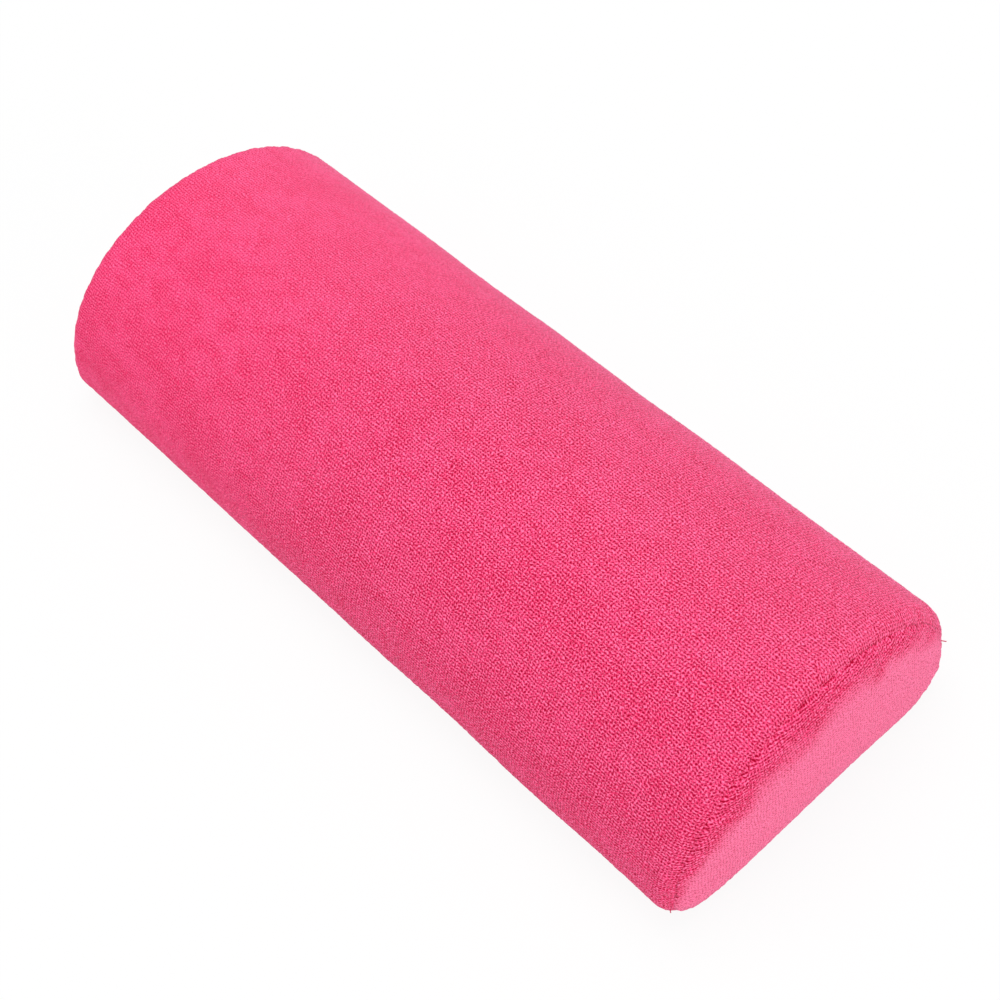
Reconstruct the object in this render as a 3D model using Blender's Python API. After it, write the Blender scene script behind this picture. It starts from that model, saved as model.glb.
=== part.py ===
"""Manicure hand rest: a half column of foam in a sewn towelling cover with a zip in its base.

X runs along the cushion, Y across it and Z up, in metres. The origin lies under the middle of
the cushion, on the surface that it stands on. The outside of the base and of the zip is -Z.
"""

import math

import bmesh
import bpy
import numpy as np

# The cushion over its cover
LENGTH = 0.300
WIDTH = 0.120
HEIGHT = 0.065
EDGE_RADIUS = 0.015
END_CROWN = 0.0072
CROWN_POWER = 1.6
CROWN_CENTRE_HEIGHT = 0.027
NOTCH_REACH = 0.08

# Towelling and its seams
FABRIC = 0.0025
END_SEAM_DIP = 0.004
END_SEAM_ROLL = 0.005
BASE_ROLL_SHARE = 0.4
SEAM_ALLOWANCE = 0.006
LEAST_INNER_ROLL = 0.0008
BASE_SEAM_DIP = 0.001
BASE_SEAM_ROLL = 0.003
CLEARANCE = 0.0003

# Folded edges beside the zip, and the shallow valley that keeps the zip off the table
ZIP_END_MARGIN = 0.030
ZIP_OPENING_WIDTH = 0.0104
HEM_WIDTH = 0.009
HEM_THICKNESS = 0.003
VALLEY_DEPTH = 0.003
VALLEY_REACH = 0.026
VALLEY_END_FADE = 0.010

# Zip
TAPE_WIDTH = 0.012
TAPE_THICKNESS = 0.0005
TAPE_TAIL = 0.008
TAPE_INNER_GAP = 0.0005
TAPE_FLARE_GAP = 0.0027
COIL_THICKNESS = 0.0019
COIL_HALF_WIDTH = 0.0024
TOOTH_PITCH = 0.0015
TOOTH_OVERLAP = 0.0010
TOOTH_GAP = 0.0004
STOP_LENGTH = 0.0024
STOP_WIDTH = 0.0026
STOP_WALL = 0.0010
STOP_BACK = 0.0004
STOP_TO_OPENING_END = 0.0022
STOP_CORNER = 0.0006
SLIDER_LENGTH = 0.0095
SLIDER_NOSE_WIDTH = 0.0084
SLIDER_TAIL_WIDTH = 0.0078
NOSE_TIP_SHARE = 0.30
NOSE_SHOULDER_SHARE = 0.78
SLIDER_PLATE = 0.0009
SLIDER_FLANGE = 0.0008
SLIDER_FLANGE_LENGTH = 0.0066
FLANGE_CORNER = 0.00027
POST_LENGTH = 0.0026
POST_WIDTH = 0.0018
POST_TO_NOSE = 0.0014
BRIDGE_LENGTH = 0.0066
BRIDGE_WIDTH = 0.0016
BRIDGE_THICKNESS = 0.0007
BRIDGE_OPENING = 0.0015
PULL_LENGTH = 0.0180
PULL_EYE_WIDTH = 0.0052
PULL_TIP_WIDTH = 0.0044
PULL_THICKNESS = 0.0009
PULL_BAR = 0.0009
PULL_EYE_CLEARANCE = 0.0005
PULL_SLOT_LENGTH = 0.0060
PULL_SLOT_WIDTH = 0.0018

# Fineness of the facets
ARCH_STEPS = 32
CORNER_STEPS = 5
ROLL_STEPS = 4
CROWN_RINGS = (1.0, 0.985, 0.95, 0.89, 0.78, 0.62, 0.42, 0.20)
FOAM_RINGS = (1.0, 0.95, 0.85, 0.68, 0.45, 0.20)
FADE_STEPS = 3
SLOPE_STEPS = 3
SEAM_SPACING = (0.0, 0.18, 0.5, 1.0)
ROUND_END_SHARE = 0.495
ROUND_STEPS = 3
OPENING_END_STEPS = 5
SHARP_ANGLE_DEG = 40
SAME_POINT = 0.00001

# Worked out from the driving sizes
ZIP_OPENING_LENGTH = LENGTH - 2 * ZIP_END_MARGIN
HALF_WIDTH = WIDTH / 2
ARCH_RISE = HEIGHT - EDGE_RADIUS
BASE_HALF = HALF_WIDTH - EDGE_RADIUS
END_SEAM_X = LENGTH / 2 - END_CROWN
PANEL_END_X = END_SEAM_X - CLEARANCE / 2
ROLL_START_X = PANEL_END_X - END_SEAM_ROLL
HEM_EDGE = ZIP_OPENING_WIDTH / 2 + HEM_WIDTH
TAPE_LOW = VALLEY_DEPTH + HEM_THICKNESS + CLEARANCE
TAPE_TOP = TAPE_LOW + TAPE_THICKNESS
TAPE_END_X = ZIP_OPENING_LENGTH / 2 + TAPE_TAIL
COIL_TOP = TAPE_LOW - CLEARANCE
COIL_LOW = COIL_TOP - COIL_THICKNESS
SLIDER_TOP = TAPE_TOP + CLEARANCE + SLIDER_PLATE
OUTER_PLATE_TOP = COIL_LOW - CLEARANCE
OUTER_PLATE_LOW = OUTER_PLATE_TOP - SLIDER_PLATE
TOP_STOP_END_X = ZIP_OPENING_LENGTH / 2 - STOP_TO_OPENING_END
SLIDER_NOSE_X = TOP_STOP_END_X - STOP_LENGTH - CLEARANCE
SLIDER_X = SLIDER_NOSE_X - SLIDER_LENGTH / 2
POST_NOSE_X = SLIDER_NOSE_X - POST_TO_NOSE
COIL_TOP_END_X = POST_NOSE_X - POST_LENGTH - CLEARANCE
BOTTOM_STOP_X = -ZIP_OPENING_LENGTH / 2 + STOP_TO_OPENING_END
PULL_AXIS_Z = OUTER_PLATE_LOW - BRIDGE_OPENING / 2

# Colours and finishes
PINK = (0.88, 0.075, 0.215, 1.0)
FOAM_CREAM = (0.86, 0.80, 0.64, 1.0)
ZIP_PINK = (0.72, 0.06, 0.18, 1.0)
NICKEL = (0.72, 0.71, 0.69, 1.0)


def material(name, colour, roughness, metallic):
    """A plain Principled finish for one piece."""
    made = bpy.data.materials.new(name)
    made.use_nodes = True
    shader = made.node_tree.nodes["Principled BSDF"]
    shader.inputs["Base Color"].default_value = colour
    shader.inputs["Roughness"].default_value = roughness
    shader.inputs["Metallic"].default_value = metallic
    made.diffuse_color = colour
    return made


def add_object(name, mesh, collection, finish=None):
    piece = bpy.data.objects.new(name, mesh)
    collection.objects.link(piece)
    if finish:
        mesh.materials.clear()
        mesh.materials.append(material(name + "_finish", *finish))
    return piece


TOWELLING = (PINK, 0.95, 0.0)
FOAM = (FOAM_CREAM, 0.9, 0.0)
WOVEN = (ZIP_PINK, 0.8, 0.0)
NYLON = (ZIP_PINK, 0.4, 0.0)
METAL = (NICKEL, 0.3, 1.0)


# Stations go round the D-shaped section. A row holds the outer point (y, z), its inward normal
# (ny, nz), its share of the end seam's dip, its distance from the base seam and 1 on the base.


def rows(y, z, ny, nz, share, seam, on_base):
    return np.column_stack(np.broadcast_arrays(y, z, ny, nz, share, seam, on_base)) * 1.0


def arch_rows():
    """The half-ellipse arch, from the rear side over the top to the front side."""
    turn = np.linspace(0.0, math.pi, ARCH_STEPS + 1)
    ny, nz = np.cos(turn) / HALF_WIDTH, np.sin(turn) / ARCH_RISE
    size = np.hypot(ny, nz)
    y, z = HALF_WIDTH * np.cos(turn), EDGE_RADIUS + ARCH_RISE * np.sin(turn)
    return rows(y, z, -ny / size, -nz / size, 1.0, HEIGHT, 0.0)


def front_corner_rows(first_gap):
    """The quarter-round lower edge, from the front side down to first_gap short of the base seam."""
    length = EDGE_RADIUS * math.pi / 2
    plain = np.linspace(length, BASE_SEAM_ROLL, CORNER_STEPS + 1)[1:]
    near = np.array(SEAM_SPACING[-2::-1]) * (BASE_SEAM_ROLL - first_gap) + first_gap
    seam = np.concatenate([plain, near])
    turn = (length - seam) / EDGE_RADIUS
    y = -BASE_HALF - EDGE_RADIUS * np.cos(turn)
    z = EDGE_RADIUS * (1.0 - np.sin(turn))
    share = 1.0 + (BASE_ROLL_SHARE - 1.0) * np.sin(turn)
    return rows(y, z, np.cos(turn), np.sin(turn), share, seam, 0.0)


def front_base_rows(first_gap, inner_y):
    """The flat base, from first_gap past the base seam to inner_y short of the centre line."""
    near = np.array(SEAM_SPACING) * (BASE_SEAM_ROLL - first_gap) + first_gap
    side = BASE_HALF - near
    slope = np.linspace(VALLEY_REACH, HEM_EDGE, SLOPE_STEPS + 1)
    inner = np.array([HEM_EDGE - CLEARANCE, ZIP_OPENING_WIDTH / 2, inner_y])
    y = np.concatenate([side, slope, inner])
    return rows(-y, 0.0, 0.0, 1.0, BASE_ROLL_SHARE, BASE_HALF - y, 1.0)


def mirrored(front):
    """The same stations on the rear side, in the opposite order."""
    rear = front[::-1].copy()
    rear[:, 0] *= -1.0
    rear[:, 2] *= -1.0
    return rear


def whole_ring():
    """Stations all round the section, once, without repeating the first."""
    corner = front_corner_rows(0.0)[:-1]
    base = front_base_rows(0.0, ZIP_OPENING_WIDTH / 2)[:-1]
    return np.vstack([arch_rows(), corner, base, mirrored(base), mirrored(corner)])


def quarter_round(share):
    """How far an elliptic roll has turned in at a share of its length, from 0 to 1."""
    return 1.0 - np.sqrt(1.0 - np.clip(share, 0.0, 1.0) ** 2)


def smooth_step(share):
    share = np.clip(share, 0.0, 1.0)
    return share * share * (3.0 - 2.0 * share)


def dip(ring, x):
    """How far the outer face lies inside the plain half column, a row per station and column per x."""
    x = np.abs(np.atleast_1d(x))[None, :]
    end = END_SEAM_DIP * quarter_round((x - ROLL_START_X) / END_SEAM_ROLL) * ring[:, 4:5]
    seam = BASE_SEAM_DIP * quarter_round(1.0 - ring[:, 5:6] / BASE_SEAM_ROLL)
    valley = smooth_step((VALLEY_REACH - np.abs(ring[:, 0:1])) / (VALLEY_REACH - HEM_EDGE))
    fade = smooth_step((TAPE_END_X + VALLEY_END_FADE - x) / VALLEY_END_FADE)
    return end + seam + VALLEY_DEPTH * valley * fade * ring[:, 6:7]


def thickness(ring):
    """The cover's thickness: one towelling layer, or the pressed fold beside the zip."""
    in_hem = (ring[:, 6] > 0) & (np.abs(ring[:, 0]) < HEM_EDGE - CLEARANCE / 2)
    return np.where(in_hem, HEM_THICKNESS, FABRIC)


def placed(ring, x, depth):
    """Points of the ring moved inward by depth, as (stations, places, 3)."""
    x = np.broadcast_to(x, depth.shape)
    y = ring[:, 0:1] + ring[:, 2:3] * depth
    z = ring[:, 1:2] + ring[:, 3:4] * depth
    return np.stack([x, y, z], axis=-1)


def loft(name, grid, collection, finish, poles=None):
    """A closed body through the loops of grid, which is (loops, points of a loop, 3).

    Each loop is joined to the next. The two ends are filled with a face, or fanned to poles.
    """
    loops, count = grid.shape[:2]
    work = bmesh.new()
    verts = [[work.verts.new(point) for point in loop] for loop in grid]
    for here, there in zip(verts, verts[1:]):
        for k in range(count):
            after = (k + 1) % count
            work.faces.new((here[k], here[after], there[after], there[k]))
    for loop, pole in ((verts[0], 0), (verts[-1], 1)):
        if poles is None:
            work.faces.new(loop)
            continue
        tip = work.verts.new(poles[pole])
        for k in range(count):
            work.faces.new((loop[k], loop[(k + 1) % count], tip))
    bmesh.ops.recalc_face_normals(work, faces=work.faces)
    mesh = bpy.data.meshes.new(name)
    work.to_mesh(mesh)
    work.free()
    mesh.shade_smooth()
    mesh.set_sharp_from_angle(angle=math.radians(SHARP_ANGLE_DEG))
    return add_object(name, mesh, collection, finish)


def places_along():
    """Places along X from the middle to the seam: the plain run, the valley's fade and the roll."""
    fade = np.linspace(TAPE_END_X, TAPE_END_X + VALLEY_END_FADE, FADE_STEPS + 1)
    turn = np.linspace(0.0, math.pi / 2, ROLL_STEPS + 1)[1:]
    roll = ROLL_START_X + END_SEAM_ROLL * np.sin(turn)
    return np.concatenate([fade[fade < ROLL_START_X - CLEARANCE], [ROLL_START_X], roll]), turn


def panel_loops(ring):
    """The profile of a long panel at each station: its outer face, rolled ends with their turned-in
    allowances, and its inner face."""
    half, turn = places_along()
    outer_x = np.concatenate([-half[::-1], half])
    outer = dip(ring, outer_x)
    lip = outer[:, -1:] + SEAM_ALLOWANCE
    wall = thickness(ring)[:, None]
    straight = half[: len(half) - len(turn)]
    inner_straight = dip(ring, straight) + wall
    end_dip = END_SEAM_DIP * ring[:, 4:5]
    inner_roll_x = ROLL_START_X + (END_SEAM_ROLL - FABRIC) * np.sin(turn)
    inner_fall = np.maximum(end_dip - FABRIC, LEAST_INNER_ROLL) * (1.0 - np.cos(turn))[None, :]
    inner_roll = inner_straight[:, -1:] + inner_fall
    inner = np.hstack([lip, inner_roll[:, ::-1], inner_straight[:, ::-1]])
    inner_x = np.concatenate([[PANEL_END_X - FABRIC], inner_roll_x[::-1], straight[::-1]])
    depth = np.hstack([outer, lip, inner, inner[:, ::-1], lip])
    x = np.concatenate([outer_x, [PANEL_END_X], inner_x, -inner_x[::-1], [-PANEL_END_X]])
    return placed(ring, x[None, :], depth)


def make_top_panel(collection):
    corner = front_corner_rows(CLEARANCE / 2)
    ring = np.vstack([mirrored(corner), arch_rows(), corner])
    loft("top_panel", panel_loops(ring), collection, TOWELLING)


def make_base_panels(collection, cutters):
    """Two halves of the base, with folded edges that flank the zip opening."""
    front = front_base_rows(CLEARANCE / 2, CLEARANCE / 2)
    slot = opening_cutter(cutters)
    for name, ring in (("base_panel_front", front), ("base_panel_rear", mirrored(front))):
        panel = loft(name, panel_loops(ring), collection, TOWELLING)
        cut = panel.modifiers.new("zip opening", "BOOLEAN")
        cut.operation = "DIFFERENCE"
        cut.solver = "EXACT"
        cut.object = slot


def make_end_panel(name, side, collection):
    """A crowned D that is sewn to the arch: two domes over its rim, one inside the other."""
    ring = whole_ring()
    rim_x = END_SEAM_X + CLEARANCE / 2
    plain_rim = END_SEAM_DIP * ring[:, 4:5]
    notch = dip(ring, PANEL_END_X) - plain_rim
    centre = np.array([0.0, 0.0, CROWN_CENTRE_HEIGHT])
    rise = LENGTH / 2 - rim_x
    loops = []
    for wall, height, rings in ((FABRIC, rise - FABRIC, CROWN_RINGS[::-1]), (0.0, rise, CROWN_RINGS)):
        for share in rings:
            at_rim = max(0.0, 1.0 - (1.0 - share) / NOTCH_REACH)
            edge = placed(ring, np.zeros((1, 1)), plain_rim + notch * at_rim + wall)[:, 0]
            loop = centre + (edge - centre) * share
            loop[:, 0] = side * (rim_x + height * math.sqrt(1.0 - share**CROWN_POWER))
            loops.append(loop)
    poles = [(side * (rim_x + rise - FABRIC), 0.0, CROWN_CENTRE_HEIGHT),
             (side * LENGTH / 2, 0.0, CROWN_CENTRE_HEIGHT)]
    loft(name, np.array(loops), collection, TOWELLING, poles=poles)


def foam_layer(ring):
    """What lies between the outer face and the foam: the cover, and the zip along the centre."""
    y = np.abs(ring[:, 0])
    over_slider = SLIDER_TOP + CLEARANCE - VALLEY_DEPTH
    over_tape = TAPE_TOP + CLEARANCE - VALLEY_DEPTH
    near_zip = np.where(y <= ZIP_OPENING_WIDTH / 2, over_slider, over_tape)
    covers_zip = (ring[:, 6] > 0) & (y < HEM_EDGE + CLEARANCE / 2)
    return np.where(covers_zip, near_zip, FABRIC + CLEARANCE)


def make_foam_core(collection):
    """The half-round block, pressed into the cover: a relief over the zip and crowned ends."""
    ring = foam_ring()
    layer = foam_layer(ring)[:, None]
    shoulder_x = PANEL_END_X - FABRIC - CLEARANCE
    fade = np.linspace(TAPE_END_X, TAPE_END_X + VALLEY_END_FADE, FADE_STEPS + 1)
    roll_length = shoulder_x - ROLL_START_X + END_SEAM_DIP / 2
    roll_start = shoulder_x - roll_length
    straight = np.concatenate([fade[fade < roll_start - CLEARANCE], [roll_start]])
    turn = np.linspace(0.0, math.pi / 2, ROLL_STEPS + 1)[1:]
    start_depth = dip(ring, straight) + layer
    rim_depth = dip(ring, PANEL_END_X) + SEAM_ALLOWANCE + CLEARANCE
    rim_depth = np.maximum(rim_depth, layer + LEAST_INNER_ROLL)
    fall = (rim_depth - start_depth[:, -1:]) * (1.0 - np.cos(turn))[None, :]
    half_x = np.concatenate([straight, roll_start + roll_length * np.sin(turn)])
    half_depth = np.hstack([start_depth, start_depth[:, -1:] + fall])
    half = placed(ring, half_x[None, :], half_depth).transpose(1, 0, 2)
    centre = np.array([0.0, 0.0, CROWN_CENTRE_HEIGHT])
    rise = LENGTH / 2 - FABRIC - CLEARANCE - shoulder_x
    crown = []
    for share in FOAM_RINGS[1:]:
        loop = centre + (half[-1] - centre) * share
        loop[:, 0] = shoulder_x + rise * math.sqrt(1.0 - share**CROWN_POWER)
        crown.append(loop)
    half = np.vstack([half, np.array(crown)])
    other = half[::-1].copy()
    other[..., 0] *= -1.0
    tip = LENGTH / 2 - FABRIC - CLEARANCE
    poles = [(-tip, 0.0, CROWN_CENTRE_HEIGHT), (tip, 0.0, CROWN_CENTRE_HEIGHT)]
    loft("foam_core", np.vstack([other, half]), collection, FOAM, poles=poles)


def foam_ring():
    """The ring of the cover, with stations either side of each step of the relief over the zip."""
    corner = front_corner_rows(0.0)[:-1]
    near = np.array([0.0, 1.0]) * BASE_SEAM_ROLL
    slope = np.linspace(VALLEY_REACH, HEM_EDGE + CLEARANCE, SLOPE_STEPS + 1)
    steps = np.array([HEM_EDGE, ZIP_OPENING_WIDTH / 2 + CLEARANCE, ZIP_OPENING_WIDTH / 2])
    y = np.concatenate([BASE_HALF - near, slope, steps])
    base = rows(-y, 0.0, 0.0, 1.0, BASE_ROLL_SHARE, BASE_HALF - y, 1.0)
    return np.vstack([arch_rows(), corner, base, mirrored(base), mirrored(corner)])


def outline_mesh(name, points, thick, bevel=0.0, holes=()):
    """A flat outline in XY as a filled curve, thick through Z about 0, made a mesh."""
    curve = bpy.data.curves.new(name, "CURVE")
    curve.dimensions = "2D"
    curve.fill_mode = "BOTH"
    curve.extrude = thick / 2 - bevel
    curve.bevel_depth = bevel
    curve.bevel_resolution = 1
    curve.offset = -bevel
    for loop in (points, *holes):
        spline = curve.splines.new("POLY")
        spline.points.add(len(loop) - 1)
        for point, (x, y) in zip(spline.points, loop):
            point.co = (x, y, 0.0, 1.0)
        spline.use_cyclic_u = True
    holder = bpy.data.objects.new(name, curve)
    bpy.context.scene.collection.objects.link(holder)
    graph = bpy.context.evaluated_depsgraph_get()
    mesh = bpy.data.meshes.new_from_object(holder.evaluated_get(graph))
    bpy.data.objects.remove(holder)
    bpy.data.curves.remove(curve)
    work = bmesh.new()
    work.from_mesh(mesh)
    bmesh.ops.remove_doubles(work, verts=work.verts, dist=SAME_POINT)
    bmesh.ops.recalc_face_normals(work, faces=work.faces)
    work.to_mesh(mesh)
    work.free()
    mesh.name = name
    return mesh


def rounded_rectangle(length, width, radius, steps=ROUND_STEPS):
    """Corner points of a rectangle about 0 with round corners, going counter-clockwise."""
    points = []
    for quarter in range(4):
        cx = (length / 2 - radius) * (1 if quarter in (0, 3) else -1)
        cy = (width / 2 - radius) * (1 if quarter in (0, 1) else -1)
        for step in range(steps + 1):
            turn = math.pi / 2 * (quarter + step / steps)
            points.append((cx + radius * math.cos(turn), cy + radius * math.sin(turn)))
    return points


def opening_cutter(cutters):
    """The long slot with round ends that the folded edges leave for the zip."""
    outline = rounded_rectangle(ZIP_OPENING_LENGTH, ZIP_OPENING_WIDTH,
                                ROUND_END_SHARE * ZIP_OPENING_WIDTH, OPENING_END_STEPS)
    cutter = add_object("zip_opening_cutter", outline_mesh("zip_opening", outline, HEIGHT), cutters)
    cutter.hide_render = True
    cutter.display_type = "WIRE"
    return cutter


def make_zip_tapes(collection):
    """Two woven tapes. Past the chain's top their inner edges part, as the top of a zip does."""
    flare_x = COIL_TOP_END_X - CLEARANCE
    for name, side in (("zip_tape_front", -1), ("zip_tape_rear", 1)):
        outline = [
            (-TAPE_END_X, TAPE_INNER_GAP / 2),
            (flare_x - TAPE_FLARE_GAP, TAPE_INNER_GAP / 2),
            (flare_x, TAPE_FLARE_GAP / 2),
            (TAPE_END_X, TAPE_FLARE_GAP / 2),
            (TAPE_END_X, TAPE_WIDTH),
            (-TAPE_END_X, TAPE_WIDTH),
        ]
        mesh = outline_mesh(name, [(x, side * y) for x, y in outline], TAPE_THICKNESS)
        tape = add_object(name, mesh, collection, WOVEN)
        tape.location.z = (TAPE_LOW + TAPE_TOP) / 2


def make_zip_coils(collection):
    """Two rows of nylon teeth whose heads mesh along the centre line."""
    first_x = BOTTOM_STOP_X + STOP_LENGTH + CLEARANCE
    teeth = int((COIL_TOP_END_X - first_x) / TOOTH_PITCH)
    step = (COIL_TOP_END_X - first_x) / (2 * teeth)
    heads = [(first_x + step * k, TOOTH_OVERLAP / 2 * (-1) ** k) for k in range(2 * teeth + 1)]
    for name, side in (("zip_coil_front", -1), ("zip_coil_rear", 1)):
        outline = [(x, y + side * TOOTH_GAP / 2) for x, y in heads]
        outline += [(COIL_TOP_END_X, side * COIL_HALF_WIDTH), (first_x, side * COIL_HALF_WIDTH)]
        coil = add_object(name, outline_mesh(name, outline, COIL_THICKNESS), collection, NYLON)
        coil.location.z = (COIL_LOW + COIL_TOP) / 2


def make_zip_stops(collection):
    """C-shaped clips on the tapes above the chain, and one clip under both tapes below it."""
    middle_z = (TAPE_LOW + TAPE_TOP) / 2
    mouth = TAPE_THICKNESS / 2 + CLEARANCE
    outer = mouth + STOP_WALL
    back = TAPE_FLARE_GAP / 2 - CLEARANCE
    for name, side in (("zip_top_stop_front", -1), ("zip_top_stop_rear", 1)):
        profile = [
            (back - STOP_BACK, -outer), (back + STOP_WIDTH, -outer), (back + STOP_WIDTH, -mouth),
            (back, -mouth), (back, mouth), (back + STOP_WIDTH, mouth), (back + STOP_WIDTH, outer),
            (back - STOP_BACK, outer),
        ]
        mesh = outline_mesh(name, [(side * y, z) for y, z in profile], STOP_LENGTH)
        clip = add_object(name, mesh, collection, METAL)
        clip.rotation_euler = (math.pi / 2, 0.0, math.pi / 2)
        clip.location = (TOP_STOP_END_X - STOP_LENGTH / 2, 0.0, middle_z)
    outline = rounded_rectangle(STOP_LENGTH, 2 * COIL_HALF_WIDTH, STOP_CORNER)
    mesh = outline_mesh("zip_bottom_stop", outline, COIL_THICKNESS, bevel=CLEARANCE)
    clip = add_object("zip_bottom_stop", mesh, collection, METAL)
    clip.location = (BOTTOM_STOP_X + STOP_LENGTH / 2, 0.0, (COIL_LOW + COIL_TOP) / 2)


def plate_outline():
    """The slider's plate: wide shoulders at the nose and a narrower tail, about its middle."""
    half = SLIDER_LENGTH / 2
    nose, tail = SLIDER_NOSE_WIDTH / 2, SLIDER_TAIL_WIDTH / 2
    side = [(half, nose * NOSE_TIP_SHARE), (half - POST_TO_NOSE / 2, nose * NOSE_SHOULDER_SHARE),
            (half - POST_TO_NOSE, nose), (0.0, tail), (-half + SLIDER_PLATE, tail),
            (-half, tail - SLIDER_PLATE)]
    return side + [(x, -y) for x, y in reversed(side)]


def joined(target, name, mesh, location, cutters, rotation=(0.0, 0.0, 0.0)):
    """Adds a mesh to target by a Boolean union, with the added shape kept as a helper."""
    extra = add_object(name, mesh, cutters)
    extra.location = location
    extra.rotation_euler = rotation
    extra.hide_render = True
    extra.display_type = "WIRE"
    union = target.modifiers.new(name, "BOOLEAN")
    union.operation = "UNION"
    union.solver = "EXACT"
    union.object = extra


def make_zip_slider(collection, cutters):
    """The die-cast slider: two plates held by a post, side flanges and the bridge for the pull."""
    bite = CLEARANCE
    plate = outline_mesh("zip_slider", plate_outline(), SLIDER_PLATE)
    slider = add_object("zip_slider", plate, collection, METAL)
    slider.location = (SLIDER_X, 0.0, (OUTER_PLATE_LOW + OUTER_PLATE_TOP) / 2)
    upper = outline_mesh("slider_inner_plate", plate_outline(), SLIDER_PLATE)
    joined(slider, "slider_inner_plate", upper, (SLIDER_X, 0.0, SLIDER_TOP - SLIDER_PLATE / 2), cutters)
    half, side = POST_LENGTH / 2, POST_WIDTH / 2
    post = [(half, 0.0), (0.0, side), (-half, 0.0), (0.0, -side)]
    post_low, post_top = OUTER_PLATE_TOP - bite, SLIDER_TOP - SLIDER_PLATE + bite
    joined(slider, "slider_post", outline_mesh("slider_post", post, post_top - post_low),
           (POST_NOSE_X - POST_LENGTH / 2, 0.0, (post_low + post_top) / 2), cutters)
    flange_low, flange_top = OUTER_PLATE_TOP - bite, TAPE_LOW - CLEARANCE
    flange_x = SLIDER_X - SLIDER_LENGTH / 2 + SLIDER_PLATE + SLIDER_FLANGE_LENGTH / 2
    flange_y = (SLIDER_TAIL_WIDTH - SLIDER_FLANGE) / 2
    for name, side in (("slider_flange_front", -1), ("slider_flange_rear", 1)):
        outline = rounded_rectangle(SLIDER_FLANGE_LENGTH, SLIDER_FLANGE, FLANGE_CORNER, 1)
        flange = outline_mesh(name, outline, flange_top - flange_low)
        place = (flange_x, side * flange_y, (flange_low + flange_top) / 2)
        joined(slider, name, flange, place, cutters)
    low = -BRIDGE_OPENING - BRIDGE_THICKNESS
    half, leg = BRIDGE_LENGTH / 2, BRIDGE_THICKNESS
    profile = [
        (-half, bite), (-half, low + leg), (-half + leg, low), (half - leg, low), (half, low + leg),
        (half, bite), (half - leg, bite), (half - leg, -BRIDGE_OPENING),
        (-half + leg, -BRIDGE_OPENING), (-half + leg, bite),
    ]
    bridge = outline_mesh("slider_bridge", profile, BRIDGE_WIDTH)
    on_edge = (math.pi / 2, 0.0, 0.0)
    joined(slider, "slider_bridge", bridge, (SLIDER_X, 0.0, OUTER_PLATE_LOW), cutters, on_edge)


def make_zip_pull(collection):
    """The flat pull tab. Its bar turns under the bridge, and its eye clears the bridge all the way."""
    reach = math.hypot(BRIDGE_LENGTH / 2, BRIDGE_OPENING / 2 + BRIDGE_THICKNESS) + PULL_EYE_CLEARANCE
    eye_half = BRIDGE_WIDTH / 2 + PULL_EYE_CLEARANCE
    bar = PULL_BAR / 2
    eye_end = -reach - PULL_EYE_WIDTH / 2 + eye_half
    outline = [
        (bar, PULL_EYE_WIDTH / 2 - bar), (bar / 2, PULL_EYE_WIDTH / 2), (eye_end, PULL_EYE_WIDTH / 2),
        (eye_end - 2 * bar, PULL_TIP_WIDTH / 2), (2 * bar - PULL_LENGTH, PULL_TIP_WIDTH / 2),
        (bar - PULL_LENGTH, PULL_TIP_WIDTH / 2 - bar),
    ]
    outline += [(x, -y) for x, y in reversed(outline)]
    eye = [(-bar, eye_half), (-bar, -eye_half), (-reach, -eye_half), (-reach, eye_half)]
    slot_x = bar - PULL_LENGTH + (PULL_TIP_WIDTH - PULL_SLOT_WIDTH) / 2 + PULL_SLOT_LENGTH / 2
    slot = rounded_rectangle(PULL_SLOT_LENGTH, PULL_SLOT_WIDTH, ROUND_END_SHARE * PULL_SLOT_WIDTH)
    slot = [(x + slot_x, y) for x, y in reversed(slot)]
    mesh = outline_mesh("zip_pull", outline, PULL_THICKNESS, holes=(eye, slot))
    pull = add_object("zip_pull", mesh, collection, METAL)
    pull.location = (SLIDER_X, 0.0, PULL_AXIS_Z)


def main():
    for old in list(bpy.data.objects):
        bpy.data.objects.remove(old, do_unlink=True)
    cushion = bpy.data.collections.new("manicure_hand_rest")
    cutters = bpy.data.collections.new("helpers")
    bpy.context.scene.collection.children.link(cushion)
    bpy.context.scene.collection.children.link(cutters)
    make_foam_core(cushion)
    make_top_panel(cushion)
    make_end_panel("end_panel_near", 1, cushion)
    make_end_panel("end_panel_far", -1, cushion)
    make_base_panels(cushion, cutters)
    make_zip_tapes(cushion)
    make_zip_coils(cushion)
    make_zip_stops(cushion)
    make_zip_slider(cushion, cutters)
    make_zip_pull(cushion)
    cutters.hide_render = True


main()
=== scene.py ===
# %% [markdown]
# # A manicure hand rest
# A half column of soft foam sits in a sewn cover of pink towelling: one long panel over the
# arch, a crowned D at each end, and a flat base in two halves that a nylon zip joins. This
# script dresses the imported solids, which stay as the frame. X runs along the cushion, Y across
# it and Z up, in metres, and the outside of the base and of the zip is -Z.

# %% Load the frame
import math

import bpy
import numpy as np
from mathutils import Matrix, Vector
from mathutils.geometry import delaunay_2d_cdt


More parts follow.
